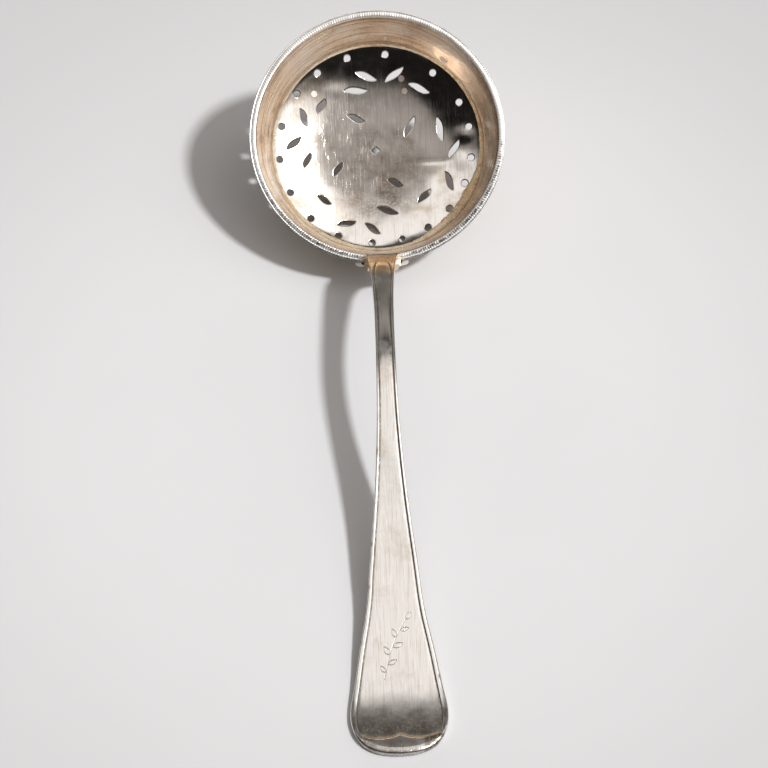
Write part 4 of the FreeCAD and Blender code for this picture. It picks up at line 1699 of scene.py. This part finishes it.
        # A warm glint is painted near the border at the broad end, and the dark there is lessened under it.
        warm = self.warm_glint_at(along) * (1 - smooth_step(gap / 0.8))
        grime = np.clip((1 - smooth_step(gap / 0.26)) * shown + cut * 0.7, 0, 1)
        # The broad end's field is darkened as painted shade.
        tip = (self.tip_shade - 0.7 * warm) * smooth_step((along - self.far + 15.0) / 10.0)
        grime = np.maximum(grime * (1 - 0.6 * warm), tip)
        places = self.at(along, across, lift=level * shown - cut * Sprig.cut_depth)
        start = bench.add_points(places, grime, np.maximum(self.gold_reflection_at(along), warm))
        bench.add_triangles(start, triangles[keep])

    def field_points(self, ring: np.ndarray, drawn: np.ndarray) -> np.ndarray:
        """Points of the field's mesh: its outline, rows inside it, fine ones round the cuts, and the rest.

        Args:
            ring: the field's outline.
            drawn: points along the engraved lines.

        Returns:
            One row each, with the outline first.
        """
        halo = np.concatenate([offset_ring(ring, -gap) for gap in (0.12, 0.28, 0.5)])
        halo = halo[inside(halo, ring)]
        halo = halo[distance_to(halo, ring) > 0.09]
        fine = hex_points(drawn.min(0) - 0.3, drawn.max(0) + 0.3, 0.08)
        fine = fine[distance_to(fine, drawn) < 0.26]
        fill = hex_points(ring.min(0), ring.max(0), 0.5)
        fill = fill[inside(fill, ring)]
        fill = fill[(distance_to(fill, ring) > 0.72) & (distance_to(fill, drawn) > 0.4)]
        return np.concatenate([ring, halo, fine, fill])

    def dress(self, piece: Piece) -> None:
        """Give the handle its finish and its place in the frame."""
        fit_piece(piece, HANDLE_SILVER.make(), "handle_silver", "handle")


@dataclass
class Sprig:
    """A small engraved leaf sprig: a curved stem with a few leaves, cut as fine grooves.

    Each leaf is given by its share of the stem, its side and its size.
    """

    middle: float
    length: float = 15.0
    lean: float = 0.42
    cut_half_width: float = 0.13
    cut_depth: float = 0.035
    leaf_bow: float = 0.24
    leaf_lean: float = 0.85
    leaf_stalk: float = 0.2
    leaf_shares: tuple[tuple[float, int, float], ...] = (
        (0.10, 1, 1.8), (0.22, -1, 2.0), (0.36, 1, 2.2), (0.48, -1, 2.2), (0.62, 1, 2.0), (0.73, -1, 1.8),
        (0.88, 0, 2.1))

    def stem_at(self, share: np.ndarray) -> np.ndarray:
        """Place on the stem for a share of its length.

        Args:
            share: shares of the stem's length.

        Returns:
            One row of (along, across) each.
        """
        along = (share - 0.5) * self.length
        across = self.lean * along - 0.9 * np.sin((share - 0.1) * math.pi * 1.1)
        return np.column_stack([self.middle - along, across])

    def leaf(self, share: float, side: int, size: float) -> list[np.ndarray]:
        """The two curved sides of one leaf that grows from the stem.

        Args:
            share: where it grows, as a share of the stem's length.
            side: 1 or -1, and 0 for a leaf that ends the stem.
            size: its length.

        Returns:
            The two sides, one row for each point.
        """
        foot = self.stem_at(np.array([share]))[0]
        ahead = self.stem_at(np.array([share + 0.02]))[0] - foot
        heading = math.atan2(ahead[1], ahead[0]) + side * self.leaf_lean
        along = np.array([math.cos(heading), math.sin(heading)])
        across = np.array([-along[1], along[0]])
        steps = np.linspace(0, 1, 50)[:, None]
        bow = self.leaf_bow * size * np.sin(math.pi * steps ** 0.8)
        return [foot + along * (self.leaf_stalk + size * steps) + across * bow * sign for sign in (-1, 1)]

    def lines(self) -> list[np.ndarray]:
        """All the cuts of the sprig, as finely drawn lines.

        Returns:
            One array of places for each cut.
        """
        lines = [self.stem_at(np.linspace(0.0, 0.90, 300))]
        for share, side, size in self.leaf_shares:
            lines += self.leaf(share, side, size)
        return lines


@dataclass
class CarriedPieces:
    """CAD nodes that keep their own shape and only get a finish."""

    rim_solder_node: str = "rim_solder"
    silver_nodes: tuple[str, ...] = ("handle_solder", "heel_plate")

    def dress(self, nodes: dict[str, Piece]) -> None:
        """Give each node its finish.

        Args:
            nodes: the frame's objects, by the name of the node.
        """
        solder = GRAINY_SOLDER.make()
        silver = MILLED_SILVER.make()
        self.paint(nodes[self.rim_solder_node], solder)
        for name in self.silver_nodes:
            self.paint(nodes[name], silver)

    def paint(self, node: Piece, material: bpy.types.Material) -> None:
        """Put a material in a node's slots.

        Args:
            node: the object.
            material: its finish.
        """
        if not node.material_slots:
            node.data.materials.append(material)
        for slot in node.material_slots:
            slot.material = material


@dataclass
class Studio:
    """The floor, the lamp, the surroundings and the camera. The floor's size is in metres."""

    floor_size: float = 6.0
    floor_colour: Colour = (0.658, 0.663, 0.677)
    # How dark the floor's colour is painted at its edges, as a falloff of the light.
    floor_falloff_share: float = 0.81
    floor_cloud_share: float = 0.985
    fibre_colour: Colour = (0.45, 0.43, 0.44)
    fibre_strength: float = 0.06
    sun_from: tuple[float, float, float] = (0.65, -0.26, 1.0)
    sun_strength: float = 2.75
    sun_angle: float = 5.5
    lens: float = 122.49
    eye: tuple[float, float, float] = (-0.628, -342.10, 488.60)
    camera_right: tuple[float, float, float] = (0.99927771, -0.03094545, -0.02205543)
    camera_up: tuple[float, float, float] = (0.03800083, 0.81374799, 0.57997426)
    camera_back: tuple[float, float, float] = (0.0, -0.58039348, 0.81433618)

    def build(self) -> None:
        """Make everything round the spoon."""
        self.build_floor()
        self.build_lamp()
        self.build_surroundings()
        self.build_camera()

    def build_floor(self) -> None:
        """Lay the pale floor, its colour darker away from the middle as a painted falloff of the light."""
        half = self.floor_size / 2
        mesh = bpy.data.meshes.new("pale_floor")
        corners = [(-half, -half, 0), (half, -half, 0), (half, half, 0), (-half, half, 0)]
        mesh.from_pydata(corners, [], [(0, 1, 2, 3)])
        floor = bpy.data.objects.new("pale_floor", mesh)
        bpy.context.scene.collection.objects.link(floor)
        board = NodeBoard("pale_paper")
        cloud = board.span(board.noise((0.02, 0.02, 0.02), 3.0, 0.6), 0.3, 0.7)
        fibre = board.span(board.noise((0.9, 0.9, 0.9), 3.0, 0.6), 0.62, 0.85, 0.0, self.fibre_strength)
        reach = board.add("ShaderNodeVectorMath", operation="LENGTH")
        board.feed(reach.inputs[0], board.place)
        # The colour darkens outward: a painted falloff of the light.
        outward = board.span(reach.outputs["Value"], 0.05, 0.17)
        cloudy, edge = ([c * share for c in self.floor_colour]
                        for share in (self.floor_cloud_share, self.floor_falloff_share))
        tone = board.mix(outward, board.mix(cloud, self.floor_colour, cloudy), edge)
        board.dress("Base Color", board.mix(fibre, tone, self.fibre_colour))
        board.dress("Roughness", 0.75)
        board.dress("Specular IOR Level", 0.2)
        mesh.materials.append(board.material)

    def build_lamp(self) -> None:
        """Hang the lamp whose shadow falls to the left."""
        data = bpy.data.lights.new("studio_lamp", "SUN")
        data.energy = self.sun_strength
        data.angle = math.radians(self.sun_angle)
        lamp = bpy.data.objects.new("studio_lamp", data)
        lamp.rotation_euler = Vector(self.sun_from).to_track_quat("Z", "Y").to_euler()
        bpy.context.scene.collection.objects.link(lamp)

    def build_surroundings(self) -> None:
        """Shade the room: a broad soft panel overhead, brighter on the right, and dim walls."""
        world = bpy.data.worlds.new("soft_room")
        world.use_nodes = True
        bpy.context.scene.world = world
        RoomBoard(world.node_tree).lay_out()

    def build_camera(self) -> None:
        """Stand the camera where the photograph was taken."""
        data = bpy.data.cameras.new("view_camera")
        data.lens = self.lens
        data.sensor_width = 36.0
        data.clip_end = 20.0
        camera = bpy.data.objects.new("view_camera", data)
        columns = (self.camera_right, self.camera_up, self.camera_back)
        turn = Matrix(columns).transposed().to_4x4()
        camera.matrix_world = Matrix.Translation(Vector(self.eye) * MM) @ turn
        bpy.context.scene.collection.objects.link(camera)
        bpy.context.scene.camera = camera


class RoomBoard(Board):
    """Lays out the room's light by direction: how far it leans right and away for each unit of height."""

    PANEL_STRENGTH: ClassVar[float] = 0.55
    WARM: ClassVar[Colour] = (1.0, 0.91, 0.84)
    WHITE: ClassVar[Colour] = (1.0, 0.995, 0.985)

    def __init__(self, tree: bpy.types.NodeTree) -> None:
        """Work out the direction's lean, and the overhead light's far edge and sides.

        Args:
            tree: the world's nodes.
        """
        super().__init__(tree)
        split = self.add("ShaderNodeSeparateXYZ")
        self.feed(split.inputs["Vector"], self.add("ShaderNodeTexCoord").outputs["Generated"])
        self.x, self.y, height = split.outputs
        above = self.math("MAXIMUM", height, 0.02)
        self.lean_x = self.math("DIVIDE", self.x, above)
        self.lean_y = self.math("DIVIDE", self.y, above)
        left = self.span(self.lean_x, -1.05, -0.55)
        right = self.span(self.lean_x, 0.85, 1.4, 1.0, 0.45)
        self.far = self.span(self.lean_y, 0.37, 0.49, 1.0, 0.0)
        self.sides = self.math("MULTIPLY", left, right)

    def lay_out(self) -> None:
        """Send the room's warm light and its white light to the world."""
        panel = self.math("MULTIPLY", self.panel(), self.PANEL_STRENGTH)
        warm = self.shade(self.WARM, self.math("ADD", self.ceiling(), self.walls()))
        white = self.shade(self.WHITE, self.math("ADD", panel, self.glow(), self.window()))
        both = self.add("ShaderNodeAddShader")
        self.feed(both.inputs[0], warm)
        self.feed(both.inputs[1], white)
        self.feed(self.add("ShaderNodeOutputWorld").inputs["Surface"], both.outputs["Shader"])

    def panel(self) -> Socket:
        """The broad soft panel overhead, a little stronger along its near edge.

        Returns:
            How strong it is in each direction.
        """
        near = self.span(self.lean_y, -0.17, -0.05)
        stronger = self.span(self.lean_y, -0.08, 0.10, 1.10, 1.0)
        return self.math("MULTIPLY", self.far, near, self.sides, stronger)

    def ceiling(self) -> Socket:
        """The dimmer ceiling in front of the panel, with a dark place on its left.

        Returns:
            How strong it is in each direction.
        """
        slant = self.math("ADD", self.lean_y, self.math("MULTIPLY", self.lean_x, 0.30))
        rising = self.span(slant, -1.05, -0.22, 0.0, 0.40)
        dark = self.span(self.squared_distance((-0.75, -0.85), 1.0), 0.14, 0.36)
        brighter = self.span(self.lean_x, 0.1, 0.45, 1.0, 2.5)
        return self.math("MULTIPLY", rising, self.far, self.sides, dark, brighter)

    def glow(self) -> Socket:
        """The glow round the lamp."""
        return self.span(self.squared_distance((0.62, -0.36), 0.8), 0.0, 0.20, 0.38, 0.0)

    def window(self) -> Socket:
        """The tall light on the right.

        Returns:
            How strong it is in each direction.
        """
        across = self.span(self.lean_x, 0.80, 1.10, 0.0, 0.36)
        near = self.span(self.lean_y, -1.1, -0.6)
        return self.math("MULTIPLY", across, near, self.span(self.lean_y, 0.3, 0.7, 1.0, 0.0))

    def walls(self) -> Socket:
        """The walls: dim all round, with bands of light on the far and the near one.

        Returns:
            How strong it is in each direction.
        """
        all_round = self.span(self.y, -0.2, 0.5, 0.010, 0.06)
        far_band = self.span(self.lean_y, 0.62, 0.74, 0.0, 0.26)
        far_shade = self.span(self.lean_y, 0.85, 1.2, 0.0, -0.18)
        near_band = self.span(self.lean_y, -3.4, -2.3, 0.42, 0.0)
        middle = self.span(self.math("ABSOLUTE", self.x, 0.0), 0.30, 0.55, 1.0, 0.0)
        low_light = self.math("MULTIPLY", middle, self.span(self.lean_y, 2.1, 3.0, 0.0, 2.1))
        return self.math("ADD", all_round, far_band, far_shade, near_band, low_light)

    def squared_distance(self, centre: tuple[float, float], stretch: float) -> Socket:
        """Squared distance of the lean from a place, with a share for how much y counts.

        Args:
            centre: the place.
            stretch: how much y counts.

        Returns:
            The squared distance.
        """
        off_x = self.math("SUBTRACT", self.lean_x, centre[0])
        off_y = self.math("MULTIPLY", self.math("SUBTRACT", self.lean_y, centre[1]), stretch)
        return self.math("ADD", self.math("MULTIPLY", off_x, off_x), self.math("MULTIPLY", off_y, off_y))

    def shade(self, colour: Colour, level: Socket) -> Socket:
        """Light of one colour at a level.

        Args:
            colour: its colour.
            level: how strong it is.

        Returns:
            The light.
        """
        node = self.add("ShaderNodeBackground")
        self.feed(node.inputs["Color"], (*colour, 1.0))
        self.feed(node.inputs["Strength"], level)
        return node.outputs["Background"]


def write_sizes() -> None:
    """Bring the scene's placements up to date."""
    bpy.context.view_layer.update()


def main() -> None:
    """Build the studio and the spoon's pieces in order."""
    logging.basicConfig(level=logging.INFO, format="%(message)s")
    bpy.context.scene.view_settings.view_transform = "Standard"
    Studio().build()
    for maker in (SideBand(), PiercedDome(), CreaseSolder(), MilledWire(), Handle()):
        piece = maker.build()
        maker.dress(piece)
        LOG.info("%s: %d faces", piece.name, len(piece.data.polygons))
    CarriedPieces().dress(frame["nodes"])
    write_sizes()


if __name__ == "__main__":
    main()
